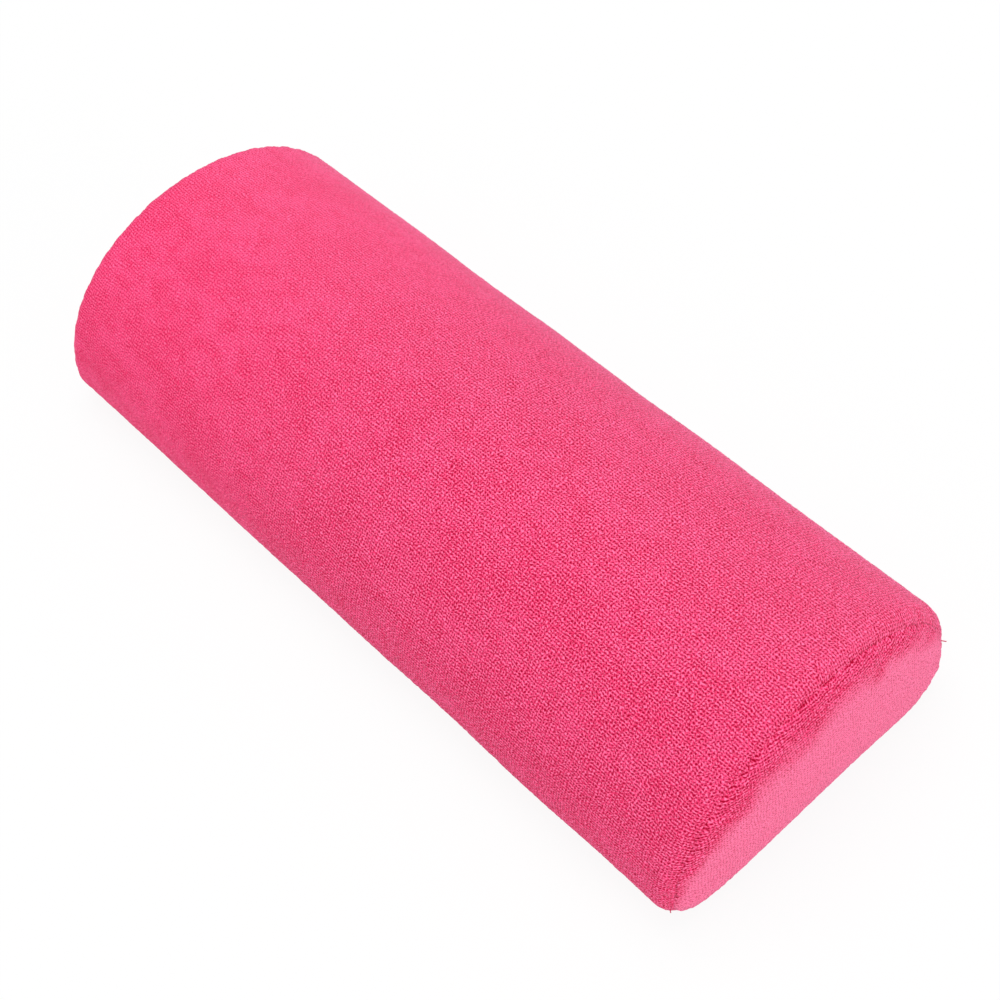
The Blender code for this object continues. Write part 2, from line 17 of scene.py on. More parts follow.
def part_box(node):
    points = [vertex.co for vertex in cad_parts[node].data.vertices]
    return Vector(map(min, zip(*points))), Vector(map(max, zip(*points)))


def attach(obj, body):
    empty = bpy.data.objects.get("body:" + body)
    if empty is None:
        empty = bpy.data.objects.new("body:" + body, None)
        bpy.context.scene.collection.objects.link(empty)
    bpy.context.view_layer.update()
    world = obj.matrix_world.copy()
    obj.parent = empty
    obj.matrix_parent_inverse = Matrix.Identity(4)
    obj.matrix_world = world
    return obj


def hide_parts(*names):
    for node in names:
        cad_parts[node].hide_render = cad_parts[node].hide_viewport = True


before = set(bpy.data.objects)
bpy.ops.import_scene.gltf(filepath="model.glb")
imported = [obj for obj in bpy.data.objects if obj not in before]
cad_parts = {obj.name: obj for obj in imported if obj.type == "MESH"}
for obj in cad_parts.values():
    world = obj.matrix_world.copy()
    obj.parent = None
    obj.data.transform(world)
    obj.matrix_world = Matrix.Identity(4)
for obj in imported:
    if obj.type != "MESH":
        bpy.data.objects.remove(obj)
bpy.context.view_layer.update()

# %% [markdown]
# ## The form that every panel follows
# The solids and the cloth have the same section: half an ellipse over two quarter-round lower
# edges and a flat base. Each cloth panel is a function of two lengths on that form, one along
# the cushion and one round the section, so a pattern can follow the cloth in millimetres.

# %% Sizes of the form
LENGTH = 0.300
WIDTH = 0.120
HEIGHT = 0.065
EDGE_RADIUS = 0.015
END_CROWN = 0.0072
CROWN_POWER = 1.6
CROWN_CENTRE_HEIGHT = 0.027
NOTCH_REACH = 0.08
FABRIC = 0.0025
END_SEAM_DIP = 0.004
END_SEAM_ROLL = 0.005
BASE_ROLL_SHARE = 0.4
SEAM_ALLOWANCE = 0.006
LEAST_INNER_ROLL = 0.0008
BASE_SEAM_DIP = 0.001
BASE_SEAM_ROLL = 0.003
CLEARANCE = 0.0003
ZIP_OPENING_LENGTH = 0.240
ZIP_OPENING_WIDTH = 0.0104
HEM_WIDTH = 0.009
HEM_THICKNESS = 0.003
VALLEY_DEPTH = 0.003
VALLEY_REACH = 0.026
VALLEY_END_FADE = 0.010
TAPE_TAIL = 0.008

HALF_WIDTH = WIDTH / 2
ARCH_RISE = HEIGHT - EDGE_RADIUS
BASE_HALF = HALF_WIDTH - EDGE_RADIUS
END_SEAM_X = LENGTH / 2 - END_CROWN
PANEL_END_X = END_SEAM_X - CLEARANCE / 2
ROLL_START_X = PANEL_END_X - END_SEAM_ROLL
HEM_EDGE = ZIP_OPENING_WIDTH / 2 + HEM_WIDTH
TAPE_END_X = ZIP_OPENING_LENGTH / 2 + TAPE_TAIL
CENTRE = np.array([0.0, 0.0, CROWN_CENTRE_HEIGHT])


def quarter_turn(count):
    """Angles in equal steps from 0 to a quarter turn."""
    return np.linspace(0.0, math.pi / 2, count)


# Places round the half circle at the slot's end, where both grids of a base panel have columns.
SLOT_END = (ZIP_OPENING_LENGTH - ZIP_OPENING_WIDTH * (1.0 - np.sin(quarter_turn(9)))) / 2


# %% The section as a function of the way round it
def half_section():
    """Half of the D as a table, from the ridge down to the centre line of the base.

    The ridge side is a quarter ellipse, then comes a quarter circle and then a straight line.
    Columns: way from the ridge, distance from the middle plane, height, inward normal across,
    inward normal up, share of the end seam's dip, distance from the base seam, 1 on the base.
    """
    turn = quarter_turn(400)
    across, up = np.sin(turn) / HALF_WIDTH, np.cos(turn) / ARCH_RISE
    size = np.hypot(across, up)
    arch = np.column_stack([HALF_WIDTH * np.sin(turn), EDGE_RADIUS + ARCH_RISE * np.cos(turn),
                            across / size, -up / size, np.ones(400), np.zeros(400)])
    turn = turn[1:]
    corner = np.column_stack([BASE_HALF + EDGE_RADIUS * np.cos(turn),
                              EDGE_RADIUS * (1.0 - np.sin(turn)), np.cos(turn), np.sin(turn),
                              1.0 + (BASE_ROLL_SHARE - 1.0) * np.sin(turn), np.zeros(399)])
    flat = np.linspace(BASE_HALF, 0.0, 400)[1:]
    base = np.column_stack([flat, 0 * flat, 0 * flat, 1.0 + 0 * flat,
                            BASE_ROLL_SHARE + 0 * flat, 1.0 + 0 * flat])
    table = np.vstack([arch, corner, base])
    steps = np.hypot(*np.diff(table[:, :2], axis=0).T)
    way = np.concatenate([[0.0], np.cumsum(steps)])
    seam_way = way[len(arch) + len(corner) - 1]
    return np.column_stack([way, table[:, :5], np.abs(way - seam_way), table[:, 5]]), seam_way


SECTION, BASE_SEAM_WAY = half_section()
CENTRE_WAY = SECTION[-1, 0]
print("ridge to base seam %.1f mm" % (BASE_SEAM_WAY * 1000))


def section(way):
    """Stations at signed ways from the ridge: positive runs down the front, negative the rear."""
    way = np.asarray(way, float)
    read = [np.interp(np.abs(way), SECTION[:, 0], SECTION[:, k]) for k in range(1, 8)]
    side = np.where(way < 0, 1.0, -1.0)
    return {"y": side * read[0], "z": read[1], "ny": -side * read[2], "nz": read[3],
            "share": read[4], "seam": read[5], "on_base": np.round(read[6])}


def quarter_round(share):
    """How far an elliptic roll has turned in at a share of its length, from 0 to 1."""
    return 1.0 - np.sqrt(1.0 - np.clip(share, 0.0, 1.0) ** 2)


def smooth_step(share):
    """0 below 0, 1 above 1, and a smooth S between them."""
    share = np.clip(share, 0.0, 1.0)
    return share * share * (3.0 - 2.0 * share)


def dip(at, x):
    """How far the cloth lies inside the plain half column: rolled ends, base seam and valley."""
    x = np.abs(x)
    end = END_SEAM_DIP * quarter_round((x - ROLL_START_X) / END_SEAM_ROLL) * at["share"]
    seam = BASE_SEAM_DIP * quarter_round(1.0 - at["seam"] / BASE_SEAM_ROLL)
    valley = smooth_step((VALLEY_REACH - np.abs(at["y"])) / (VALLEY_REACH - HEM_EDGE))
    fade = smooth_step((TAPE_END_X + VALLEY_END_FADE - x) / VALLEY_END_FADE)
    return end + seam + VALLEY_DEPTH * valley * fade * at["on_base"]


def placed(at, x, depth):
    """Points at x along the cushion, moved from the section's line inward by depth."""
    y, z = at["y"] + at["ny"] * depth, at["z"] + at["nz"] * depth
    return np.stack(np.broadcast_arrays(x, y, z), axis=-1)


# %% The way along the cushion, round the rolled end and into the seam
ROLL_TURN = quarter_turn(60)
ROLL_WAY = np.concatenate([[0.0], np.cumsum(np.hypot(
    np.diff(END_SEAM_ROLL * np.sin(ROLL_TURN)), np.diff(END_SEAM_DIP * np.cos(ROLL_TURN))))])
END_SEAM_WAY = ROLL_START_X + ROLL_WAY[-1]
print("middle to end seam %.1f mm along the cloth" % (END_SEAM_WAY * 1000))


def along(way):
    """Place along X and depth of the turned-in allowance, for a signed way from the middle."""
    size = np.abs(way)
    turn = np.interp(size - ROLL_START_X, ROLL_WAY, ROLL_TURN)
    x = np.where(size < ROLL_START_X, size, ROLL_START_X + END_SEAM_ROLL * np.sin(turn))
    return np.sign(way) * x, np.maximum(size - END_SEAM_WAY, 0.0)


# %% [markdown]
# ## Meshes from grids
# A cloth panel is a thin closed shell: a fine outer face that carries the pile, a coarse inner
# face and a strip round their edges. All faces come from whole arrays of point numbers.

# %% Faces of grids and strips
def grid_faces(index):
    """Quads of a grid of point numbers."""
    corners = [index[:-1, :-1], index[1:, :-1], index[1:, 1:], index[:-1, 1:]]
    return np.stack(corners, axis=-1).reshape(-1, 4)


def strip_faces(one, other):
    """Triangles between two lines of point numbers that may have different counts."""
    pair = np.round(np.arange(len(one)) * (len(other) - 1) / (len(one) - 1)).astype(int)
    fans = np.stack([one[:-1], one[1:], other[pair[:-1]]], axis=1)
    change = np.searchsorted(pair, np.arange(1, len(other)))
    back = np.stack([one[change], other[1:], other[:-1]], axis=1)
    return np.vstack([fans, back])


def facing_out(points, blocks):
    """Blocks of faces, turned round if the first one faces in.

    It does if ((b - a) x (c - a)) . (a - centre), with its corners a, b and c, sums to less
    than 0.
    """
    a, b, c = (points[blocks[0][:, k]] for k in range(3))
    out = np.einsum("ij,ij->i", np.cross(b - a, c - a), a - CENTRE).sum()
    return blocks if out > 0 else [block[:, ::-1] for block in blocks]


def add_object(name, data):
    """An object in the scene for a mesh, a camera or a lamp."""
    made = bpy.data.objects.new(name, data)
    bpy.context.scene.collection.objects.link(made)
    return made


def add_piece(name, points, faces, finish):
    """A smooth-shaded mesh piece from whole arrays, which rides on the cushion's body."""
    mesh = bpy.data.meshes.new(name)
    corners = np.concatenate([block.ravel() for block in faces])
    sizes = np.concatenate([np.full(len(block), block.shape[1]) for block in faces])
    mesh.vertices.add(len(points))
    mesh.vertices.foreach_set("co", points.astype(np.float32).ravel())
    mesh.loops.add(len(corners))
    mesh.loops.foreach_set("vertex_index", corners.astype(np.int32))
    mesh.polygons.add(len(sizes))
    starts = np.concatenate([[0], np.cumsum(sizes)[:-1]])
    mesh.polygons.foreach_set("loop_start", starts.astype(np.int32))
    mesh.polygons.foreach_set("use_smooth", np.ones(len(sizes), bool))
    mesh.update(calc_edges=True)
    mesh.validate()
    mesh.materials.append(finish)
    piece = add_object(name, mesh)
    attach(piece, "cushion")
    print(name, int((sizes - 2).sum()), "triangles")
    return piece


def set_map(piece, across_cloth):
    """The cloth's own UV map, in millimetres: U runs along the rows of loops, V over them."""
    mesh = piece.data
    corner = np.empty(len(mesh.loops), np.int32)
    mesh.loops.foreach_get("vertex_index", corner)
    layer = mesh.uv_layers.new(name="cloth")
    layer.uv.foreach_set("vector", (across_cloth[corner] * 1000).astype(np.float32).ravel())


# %% [markdown]
# ## Pile
# Towelling is covered with small loops of yarn in rows a millimetre apart. To model each would
# take millions of faces, so the finish, below, draws the rows. The mesh has a point for nearly
# each loop at an uneven height, and slower drifts are brushed patches and soft dents.

# %% Pile
LOOP_STEP = 0.00082
LOOP_JITTER = 0.22
LOOP_HEIGHT = 0.00014
BRUSHED = ((0.0045, 0.6), (0.011, 0.4))
BRUSHED_HEIGHT = 0.00009
DENT_SIZE = 0.034
DENT_HEIGHT = 0.00025
SEEDS = {"top": 11, "base": 18, "base steps": 16, "end": 24, "end steps": 20,
         "top puckers": 31, "base puckers": 47, "end puckers": 53, "sheen side": 61}


def between_four(table, i, j, a, b):
    """The value at shares a and b of the way from entry i, j of a table to i + 1, j + 1."""
    low = table[i, j] * (1 - a) + table[i + 1, j] * a
    high = table[i, j + 1] * (1 - a) + table[i + 1, j + 1] * a
    return low * (1 - b) + high * b


def drift(u, v, size, seed):
    """Smooth random values from -1 to 1 that change over about `size` metres of cloth."""
    u, v = (np.asarray(w, float) / size for w in (u, v))
    u, v = u - u.min(), v - v.min()
    lattice = np.random.default_rng(seed).uniform(-1, 1, (int(u.max()) + 2, int(v.max()) + 2))
    i, j = u.astype(int), v.astype(int)
    return between_four(lattice, i, j, smooth_step(u - i), smooth_step(v - j))


def pile_relief(u, v, seed):
    """Height of the pile over the cloth's face, from random values between -1 and 1.

    height = 0.14 mm * a value for each point + 0.09 mm * (0.6 * a drift over 4.5 mm
    + 0.4 * a drift over 11 mm) + 0.25 mm * a drift over 34 mm.
    """
    loops = np.random.default_rng(seed).uniform(-1.0, 1.0, u.shape)
    patches = sum(share * drift(u, v, size, seed + k) for k, (size, share) in enumerate(BRUSHED, 1))
    return (LOOP_HEIGHT * loops + BRUSHED_HEIGHT * patches
            + DENT_HEIGHT * drift(u, v, DENT_SIZE, seed + 3))


def raise_pile(piece, height):
    """Moves each point along the mesh's own normal by its height, but not into the table."""
    mesh = piece.data
    points = np.empty(len(mesh.vertices) * 3, np.float32)
    normals = np.empty(len(mesh.vertices) * 3, np.float32)
    mesh.vertices.foreach_get("co", points)
    mesh.vertex_normals.foreach_get("vector", normals)
    points += normals * np.repeat(height, 3).astype(np.float32)
    points[2::3] = np.maximum(points[2::3], 0.0)
    mesh.vertices.foreach_set("co", points)
    mesh.update()


# %% [markdown]
# ## Finishes
# Each finish reads the cloth's own map or the piece's Object coordinates.

# %% A small helper for node trees
class Finish:
    """A new material, or a world, and short ways to add and join its nodes."""

    def __init__(self, name, world=None):
        self.made = world or bpy.data.materials.new(name)
        self.made.use_nodes = True
        self.tree = self.made.node_tree
        self.shader = self.tree.nodes["Background" if world else "Principled BSDF"]

    def add(self, kind, settings=None, **inputs):
        """A shader node with its settings and inputs, where _ stands for a space."""
        node = self.tree.nodes.new("ShaderNode" + kind)
        for key, value in (settings or {}).items():
            setattr(node, key, value)
        for key, value in inputs.items():
            self.put(node.inputs[key.replace("_", " ")], value)
        return node

    def put(self, socket, value):
        """Joins another node's output to a socket, or gives it a plain value."""
        if isinstance(value, bpy.types.NodeSocket):
            self.tree.links.new(value, socket)
        else:
            socket.default_value = value

    def set(self, **inputs):
        """Gives the shader its inputs."""
        for key, value in inputs.items():
            self.put(self.shader.inputs[key.replace("_", " ")], value)

    def place(self):
        """The piece's Object coordinates, in metres."""
        return self.add("TexCoord").outputs["Object"]

    def cloth(self):
        """The cloth's own map, in millimetres."""
        return self.add("UVMap", {"uv_map": "cloth"}).outputs["UV"]

    def scaled(self, source, scale):
        """Texture space made larger or smaller on each axis, so that 1 is one repeat."""
        return self.add("Mapping", Vector=source, Scale=scale).outputs["Vector"]

    def grain(self, source, scale, detail):
        """Noise in space."""
        return self.add("TexNoise", Vector=source, Scale=scale, Detail=detail).outputs["Fac"]

    def noise(self, source, across, up, detail, output="Fac"):
        """Flat noise with so many repeats a unit along the two axes of its source."""
        return self.add("TexNoise", {"noise_dimensions": "2D"}, Scale=1.0, Detail=detail,
                        Vector=self.scaled(source, (across, up, 1))).outputs[output]

    def swayed(self, source, noise, size):
        """Texture space pushed about by a noise's colour."""
        return self.vector("MULTIPLY_ADD", noise, (size, size, 0.0), source).outputs["Vector"]

    def vector(self, operation, *values):
        """A step of maths on vectors."""
        node = self.add("VectorMath", {"operation": operation})
        for k, value in enumerate(values):
            self.put(node.inputs[k], value)
        return node

    def between(self, value, low, high):
        """A smooth mask that goes from 0 at low to 1 at high."""
        return self.add("MapRange", {"interpolation_type": "SMOOTHSTEP"}, Value=value,
                        From_Min=low, From_Max=high).outputs["Result"]

    def blend(self, factor, one, other):
        """Mixes two colours by a factor."""
        node = self.add("Mix", {"data_type": "RGBA"})
        self.put(node.inputs["Factor"], factor)
        self.put(node.inputs[6], one)
        self.put(node.inputs[7], other)
        return node.outputs[2]

    def maths(self, operation, one, other):
        """A step of maths on two numbers."""
        node = self.add("Math", {"operation": operation})
        self.put(node.inputs[0], one)
        self.put(node.inputs[1], other)
        return node.outputs[0]

    def times(self, one, other):
        """The product of two numbers."""
        return self.maths("MULTIPLY", one, other)

    def bump(self, strength, distance, height):
        """The normal of the surface as a height roughens it."""
        return self.add("Bump", Strength=strength, Distance=distance,
                        Height=height).outputs["Normal"]


# %% [markdown]
# ### Towelling
# The loops stand in a square lattice. Beside each is a narrow hollow, mostly along the row,
# whose shade is painted into the colour as a deep rose. Voronoi cells on a lattice give
# each hollow its own place, turn and size, and noise the size of a yarn ravels its outline.
# Finer gaps between the yarns get painted shade too, and the tips that stand furthest out get a
# painted highlight. Seen along its surface all pile looks paler, which is what the shader's sheen
# is for; on the lower part of each end panel, and slightly on the rear of the arch, a painted
# sheen adds to it.

# %% Towelling
LOOP_PINK = (0.94, 0.066, 0.208, 1.0)
# Painted shade in the hollows beside the loops.
HOLLOW_SHADE_ROSE = (0.38, 0.001, 0.024, 1.0)
PATCH_ROSE = (0.84, 0.037, 0.140, 1.0)
# Painted highlight on the loop tips.
TIP_HIGHLIGHT_PINK = (1.0, 0.185, 0.380, 1.0)
# Painted sheen on the end panels and the rear of the arch.
PAINTED_SHEEN_PINK = (0.99, 0.225, 0.400, 1.0)
SHEEN_PINK = (1.0, 0.50, 0.74, 1.0)
LOOPS_PER_MM = (1 / 1.04, 1 / 1.00)
ROW_BENDS = ((0.12, 1.6), (0.95, 0.5))
LOOP_WANDER = 0.14
HOLLOW_TURN = 2.0
HOLLOW_SCALE = (1 / 0.29, 1 / 0.15, 0)
HOLLOW_SPREAD = 0.2
HOLLOW_EDGE = (1.75, 0.7)
YARN_NOISE = (1.5, 2.3, 2.0)
YARN_SHARE = 2.4
GAPE_NOISE = (0.32, 1.35, 1.0)
GAPE_MIDDLE = 0.42
GAPE_SHARE = 3.6
YARNS_PER_MM = (1.15, 1.75)
YARN_WANDER = 0.9
YARN_GAP_EDGE = (0.38, 0.12)
YARN_GAP_SHARE = 0.75
TIP_YARN_SHARE = 5.0
TIP_HIGHLIGHT_EDGE = (2.2, 3.6)
PATCHES = (((0.13, 0.19, 3.0), (0.40, 0.72), 0.8), ((0.035, 0.045, 2.0), (0.38, 0.68), 0.55))
PILE_TOP = 2.5


def towelling():
    """One hollow for each loop on the cloth's map in millimetres.

    With (a, b) the place in a hollow's own turned axes, the way out of it is
    sqrt((a / 0.29)^2 + (b / 0.15)^2), and painted shade darkens the cloth where that falls from
    1.75 to 0.7.
    """
    f = Finish("towelling")
    cloth = f.cloth()
    painted_sheen, closed, seam_gape_shade = (f.add("Attribute", {"attribute_name": name}).outputs["Fac"]
                             for name in ("painted_sheen", "closed", "seam_gape_shade"))
    bent = cloth
    for per_mm, sway in ROW_BENDS:
        bent = f.swayed(bent, f.noise(cloth, per_mm, per_mm, 1.0, "Color"), sway)
    loops = f.scaled(bent, (*LOOPS_PER_MM, 1))
    cell = f.add("TexVoronoi", {"voronoi_dimensions": "2D"}, Vector=loops, Scale=1.0,
                 Randomness=LOOP_WANDER)
    chance = f.add("SeparateColor", Color=cell.outputs["Color"])
    turn = f.times(f.maths("SUBTRACT", chance.outputs[0], 0.5), HOLLOW_TURN)
    turned = f.add("VectorRotate", {"rotation_type": "Z_AXIS"}, Vector=loops, Angle=turn,
                   Center=cell.outputs["Position"]).outputs[0]
    local = f.vector("SUBTRACT", turned, cell.outputs["Position"]).outputs["Vector"]
    way_out = f.vector("LENGTH", f.scaled(local, HOLLOW_SCALE)).outputs["Value"]
    yarn = f.maths("SUBTRACT", f.noise(cloth, *YARN_NOISE), 0.5)
    gape = f.maths("SUBTRACT", f.noise(cloth, *GAPE_NOISE), GAPE_MIDDLE)
    out = f.maths("ADD", way_out, f.times(chance.outputs[1], HOLLOW_SPREAD))
    out = f.maths("SUBTRACT", out, f.times(yarn, YARN_SHARE))
    # Near a seam the hollows widen, so more painted shade falls there.
    out = f.maths("SUBTRACT", out, f.times(f.times(gape, seam_gape_shade), GAPE_SHARE))
    fine = f.add("TexVoronoi", {"voronoi_dimensions": "2D"}, Scale=1.0, Randomness=YARN_WANDER,
                 Vector=f.scaled(bent, (*YARNS_PER_MM, 1))).outputs["Distance"]
    # Where the hollows are shut, the painted shade and highlights and the bump fall away.
    is_open = f.maths("SUBTRACT", 1.0, closed)
    # Painted shade: the fine gaps between the yarns and the hollows beside the loops darken the
    # colour.
    gap = f.times(f.between(fine, *YARN_GAP_EDGE), YARN_GAP_SHARE)
    hollow = f.times(f.maths("MAXIMUM", f.between(out, *HOLLOW_EDGE), gap), is_open)
    # Painted highlight on the loop tips that stand furthest out.
    raised = f.maths("SUBTRACT", out, f.times(yarn, TIP_YARN_SHARE))
    tip = f.times(f.between(raised, *TIP_HIGHLIGHT_EDGE), is_open)
    colour = LOOP_PINK
    for shape, edge, share in PATCHES:
        patch = f.between(f.noise(cloth, *shape), *edge)
        colour = f.blend(f.times(patch, share), colour, PATCH_ROSE)
    # Painted sheen over the lower end panels and the rear of the arch.
    colour = f.blend(painted_sheen, colour, PAINTED_SHEEN_PINK)
    colour = f.blend(tip, colour, TIP_HIGHLIGHT_PINK)
    colour = f.blend(hollow, colour, HOLLOW_SHADE_ROSE)
    height = f.times(f.maths("MINIMUM", out, PILE_TOP), is_open)
    f.set(Base_Color=colour, Normal=f.bump(0.6, 0.0001, height), Roughness=0.95,
          Sheen_Weight=0.46, Sheen_Roughness=0.28, Sheen_Tint=SHEEN_PINK,
          Specular_IOR_Level=0.05)
    return f.made


TOWELLING = towelling()

# %% [markdown]
# ### Foam, woven tape, nylon and nickel
# The foam is open cell, and painted shade marks the small pores that dot its light cream face.
# The zip's tape has the fine ribs of a woven ribbon, with painted shade where its weave is low,
# its coil is dyed nylon, and its metal is nickel, brushed by use.

# %% Foam, tape, nylon, thread and nickel
FOAM_CREAM = (0.86, 0.80, 0.64, 1.0)
# Painted shade in the foam's pores.
PORE_SHADE_BROWN = (0.42, 0.36, 0.24, 1.0)
TAPE_PINK = (0.74, 0.050, 0.170, 1.0)
# Painted shade for the low parts of the tape's weave and the thread's twist.
TAPE_SHADE = (0.42, 0.018, 0.080, 1.0)
NYLON_PINK = (0.80, 0.070, 0.200, 1.0)
THREAD_PINK = (0.66, 0.030, 0.120, 1.0)
NICKEL = (0.74, 0.73, 0.70, 1.0)
FOAM_SHADE = (0.80, 0.72, 0.54, 1.0)
NICKEL_SHADE = (0.60, 0.58, 0.54, 1.0)


def foam():
    """Uneven cream with painted shade for a pore in the middle of each cell."""
    f = Finish("foam")
    place = f.place()
    cell = f.add("TexVoronoi", Vector=place, Scale=900.0).outputs["Distance"]
    # Painted shade in each pore.
    pore = f.between(cell, 0.30, 0.05)
    body = f.blend(f.between(f.grain(place, 60.0, 3.0), 0.3, 0.7), FOAM_CREAM, FOAM_SHADE)
    f.set(Base_Color=f.blend(pore, body, PORE_SHADE_BROWN), Roughness=0.9,
          Normal=f.bump(0.5, 0.0004, cell))
    return f.made


def woven_tape():
    """Ribs across the tape times warp threads along it, with painted shade where the weave is low.
    """
    f = Finish("zip_tape")
    cloth = f.cloth()
    rib, warp = (f.add("TexWave", {"wave_type": "BANDS", "bands_direction": axis},
                       Vector=f.scaled(cloth, (per_mm, per_mm, 1)), Scale=1.0,
                       Distortion=uneven, Detail=1.0).outputs["Fac"]
                 for axis, per_mm, uneven in (("X", 0.62, 0.4), ("Y", 0.9, 0.3)))
    weave = f.times(rib, warp)
    # Painted shade between the threads, where the weave is low.
    colour = f.blend(f.between(weave, 0.0, 0.5), TAPE_SHADE, TAPE_PINK)
    f.set(Base_Color=colour, Roughness=0.75, Sheen_Weight=0.15,
          Normal=f.bump(0.5, 0.0002, weave))
    return f.made


def nylon():
    """Smooth dyed thread with a slightly uneven tone."""
    f = Finish("zip_coil")
    tone = f.grain(f.place(), 400.0, 2.0)
    colour = f.blend(f.between(tone, 0.3, 0.7), NYLON_PINK, TAPE_PINK)
    f.set(Base_Color=colour, Roughness=0.32, Normal=f.bump(0.1, 0.0001, tone))
    return f.made


def sewing_thread():
    """Twisted thread, as a fine noise, with painted shade where the twist is low."""
    f = Finish("sewing_thread")
    place = f.place()
    twist = f.grain(f.scaled(place, (3500, 3500, 3500)), 1.0, 1.0)
    # Painted shade where the twist is low.
    colour = f.blend(f.between(twist, 0.35, 0.65), TAPE_SHADE, THREAD_PINK)
    f.set(Base_Color=colour, Roughness=0.6, Sheen_Weight=0.2,
          Normal=f.bump(0.4, 0.0001, twist))
    return f.made


def nickel():
    """Nickel brushed along X, with a roughness of 0.14 + 0.22 * wear."""
    f = Finish("zip_metal")
    place = f.place()
    brushed = f.grain(f.scaled(place, (250, 4500, 4500)), 1.0, 3.0)
    wear = f.grain(place, 350.0, 3.0)
    dull = f.maths("ADD", f.times(wear, 0.22), 0.14)
    colour = f.blend(f.between(wear, 0.4, 0.75), NICKEL, NICKEL_SHADE)
    f.set(Base_Color=colour, Metallic=1.0, Roughness=dull,
          Normal=f.bump(0.15, 0.00004, brushed))
    return f.made


FOAM = foam()
TAPE = woven_tape()
NYLON = nylon()
THREAD = sewing_thread()
METAL = nickel()

# %% [markdown]
# ## The long panels
# The top panel runs from the rear base seam, over the arch, to the front base seam. It rolls
# over at both ends and turns into the end seam, where the thread pulls it into small puckers.
#
# Three values on each point tell the finish how to paint the pile there. One is 1 at a seam,
# where the loops gape, and widens the painted shade of their hollows. `closed` shuts the
# hollows, taking away the painted shade and highlights of the loops and flattening their bump, in
# part towards the far end and a little on the lower part of each end panel. A third paints a
# sheen on that lower part, and slightly on the rear of the arch.

# %% Puckers, seams and inner faces
PUCKER_REACH = 0.009
PUCKER_PITCH = 0.0075
PUCKER_DEPTH = 0.00045
PUCKER_WANDER = 2.2
WANDER_SIZE = 0.02
UNEVEN_SIZE = 0.016
SEAM_FILL = 0.00050
SEAM_FILL_REACH = 0.0012
BASE_SEAM_FADE = 0.001
SEAM_GAPE_SHADE_REACH = 0.0015


def pucker(way_to_seam, way_beside, seed):
    """Small waves along a seam, deepest one or two stitches from it and gone further out.

    depth = 0.45 mm * size * envelope * sin(2 pi * way beside / 7.5 mm + wander), where
    envelope = min(4 * near, 1) * exp(-2.2 * near) with near = way to the seam / 9 mm.
    """
    level = np.zeros_like(way_beside)
    wander = drift(way_beside, level, WANDER_SIZE, seed) * PUCKER_WANDER
    size = 0.55 + 0.45 * drift(way_beside, level, UNEVEN_SIZE, seed + 1)
    near = way_to_seam / PUCKER_REACH
    envelope = np.clip(near * 4.0, 0.0, 1.0) * np.exp(-2.2 * np.clip(near, 0.0, None))
    return PUCKER_DEPTH * size * envelope * np.sin(way_beside / PUCKER_PITCH * 2 * math.pi + wander)


def closed_seam(height, to_seam):
    """Height of the pile near an end seam, where the loops fill the gap to the end panel."""
    near = np.clip(1.0 - to_seam / SEAM_FILL_REACH, 0.0, 1.0) * (to_seam > -CLEARANCE)
    return height * (1.0 - near) * (to_seam > -CLEARANCE) + SEAM_FILL * near


def inner_columns():
    """Places along X of the inner face with the turn of its roll, and its share of the lip."""
    straight = np.concatenate([np.linspace(0.0, SLOT_END[0], 9), SLOT_END[1:], [TAPE_END_X]])
    fade = np.linspace(TAPE_END_X, TAPE_END_X + VALLEY_END_FADE, 4)[1:-1]
    turn = quarter_turn(6)
    x = np.concatenate([straight, fade, ROLL_START_X + (END_SEAM_ROLL - FABRIC) * np.sin(turn),
                        [PANEL_END_X - FABRIC]])
    turns = np.concatenate([np.zeros(len(straight) + len(fade)), turn, [math.pi / 2]])
    lip = (np.arange(len(x)) == len(x) - 1) * 1.0
    return [np.concatenate([part[::-1] * mirror, part[1:]])
            for part, mirror in ((x, -1.0), (turns, 1.0), (lip, 1.0))]


def inner_face(at, wall, lift=0.0):
    """The inner face of a long panel: one thickness in, round a smaller roll, down the lip."""
    x, turn, lip = (part[None, :] for part in inner_columns())
    plain = dip(at, np.minimum(np.abs(x), ROLL_START_X)) + wall + lift
    fall = np.maximum(END_SEAM_DIP * at["share"] - FABRIC, LEAST_INNER_ROLL)
    end = dip(at, PANEL_END_X) + SEAM_ALLOWANCE
    depth = np.where(lip > 0, end, plain + fall * (1.0 - np.cos(turn)))
    return placed(at, x, depth)


def long_shell(name, outer, inner, finish):
    """A closed shell from its outer and inner grids, which are (rows across, places along, 3)."""
    points = np.vstack([outer.reshape(-1, 3), inner.reshape(-1, 3)])
    number = np.arange(len(points))
    top = number[:outer[..., 0].size].reshape(outer.shape[:2])
    under = number[top.size:].reshape(inner.shape[:2])
    faces = [grid_faces(top), grid_faces(under)[:, ::-1],
             strip_faces(top[0], under[0]), strip_faces(top[-1], under[-1])[:, ::-1],
             strip_faces(top[:, 0], under[:, 0])[:, ::-1], strip_faces(top[:, -1], under[:, -1])]
    return add_piece(name, points, facing_out(points, faces), finish)


def turned_in(way):
    """Ways along the cushion with the seam allowance added beyond both ends."""
    return np.hstack([way[:, :1] - SEAM_ALLOWANCE, way, way[:, -1:] + SEAM_ALLOWANCE])


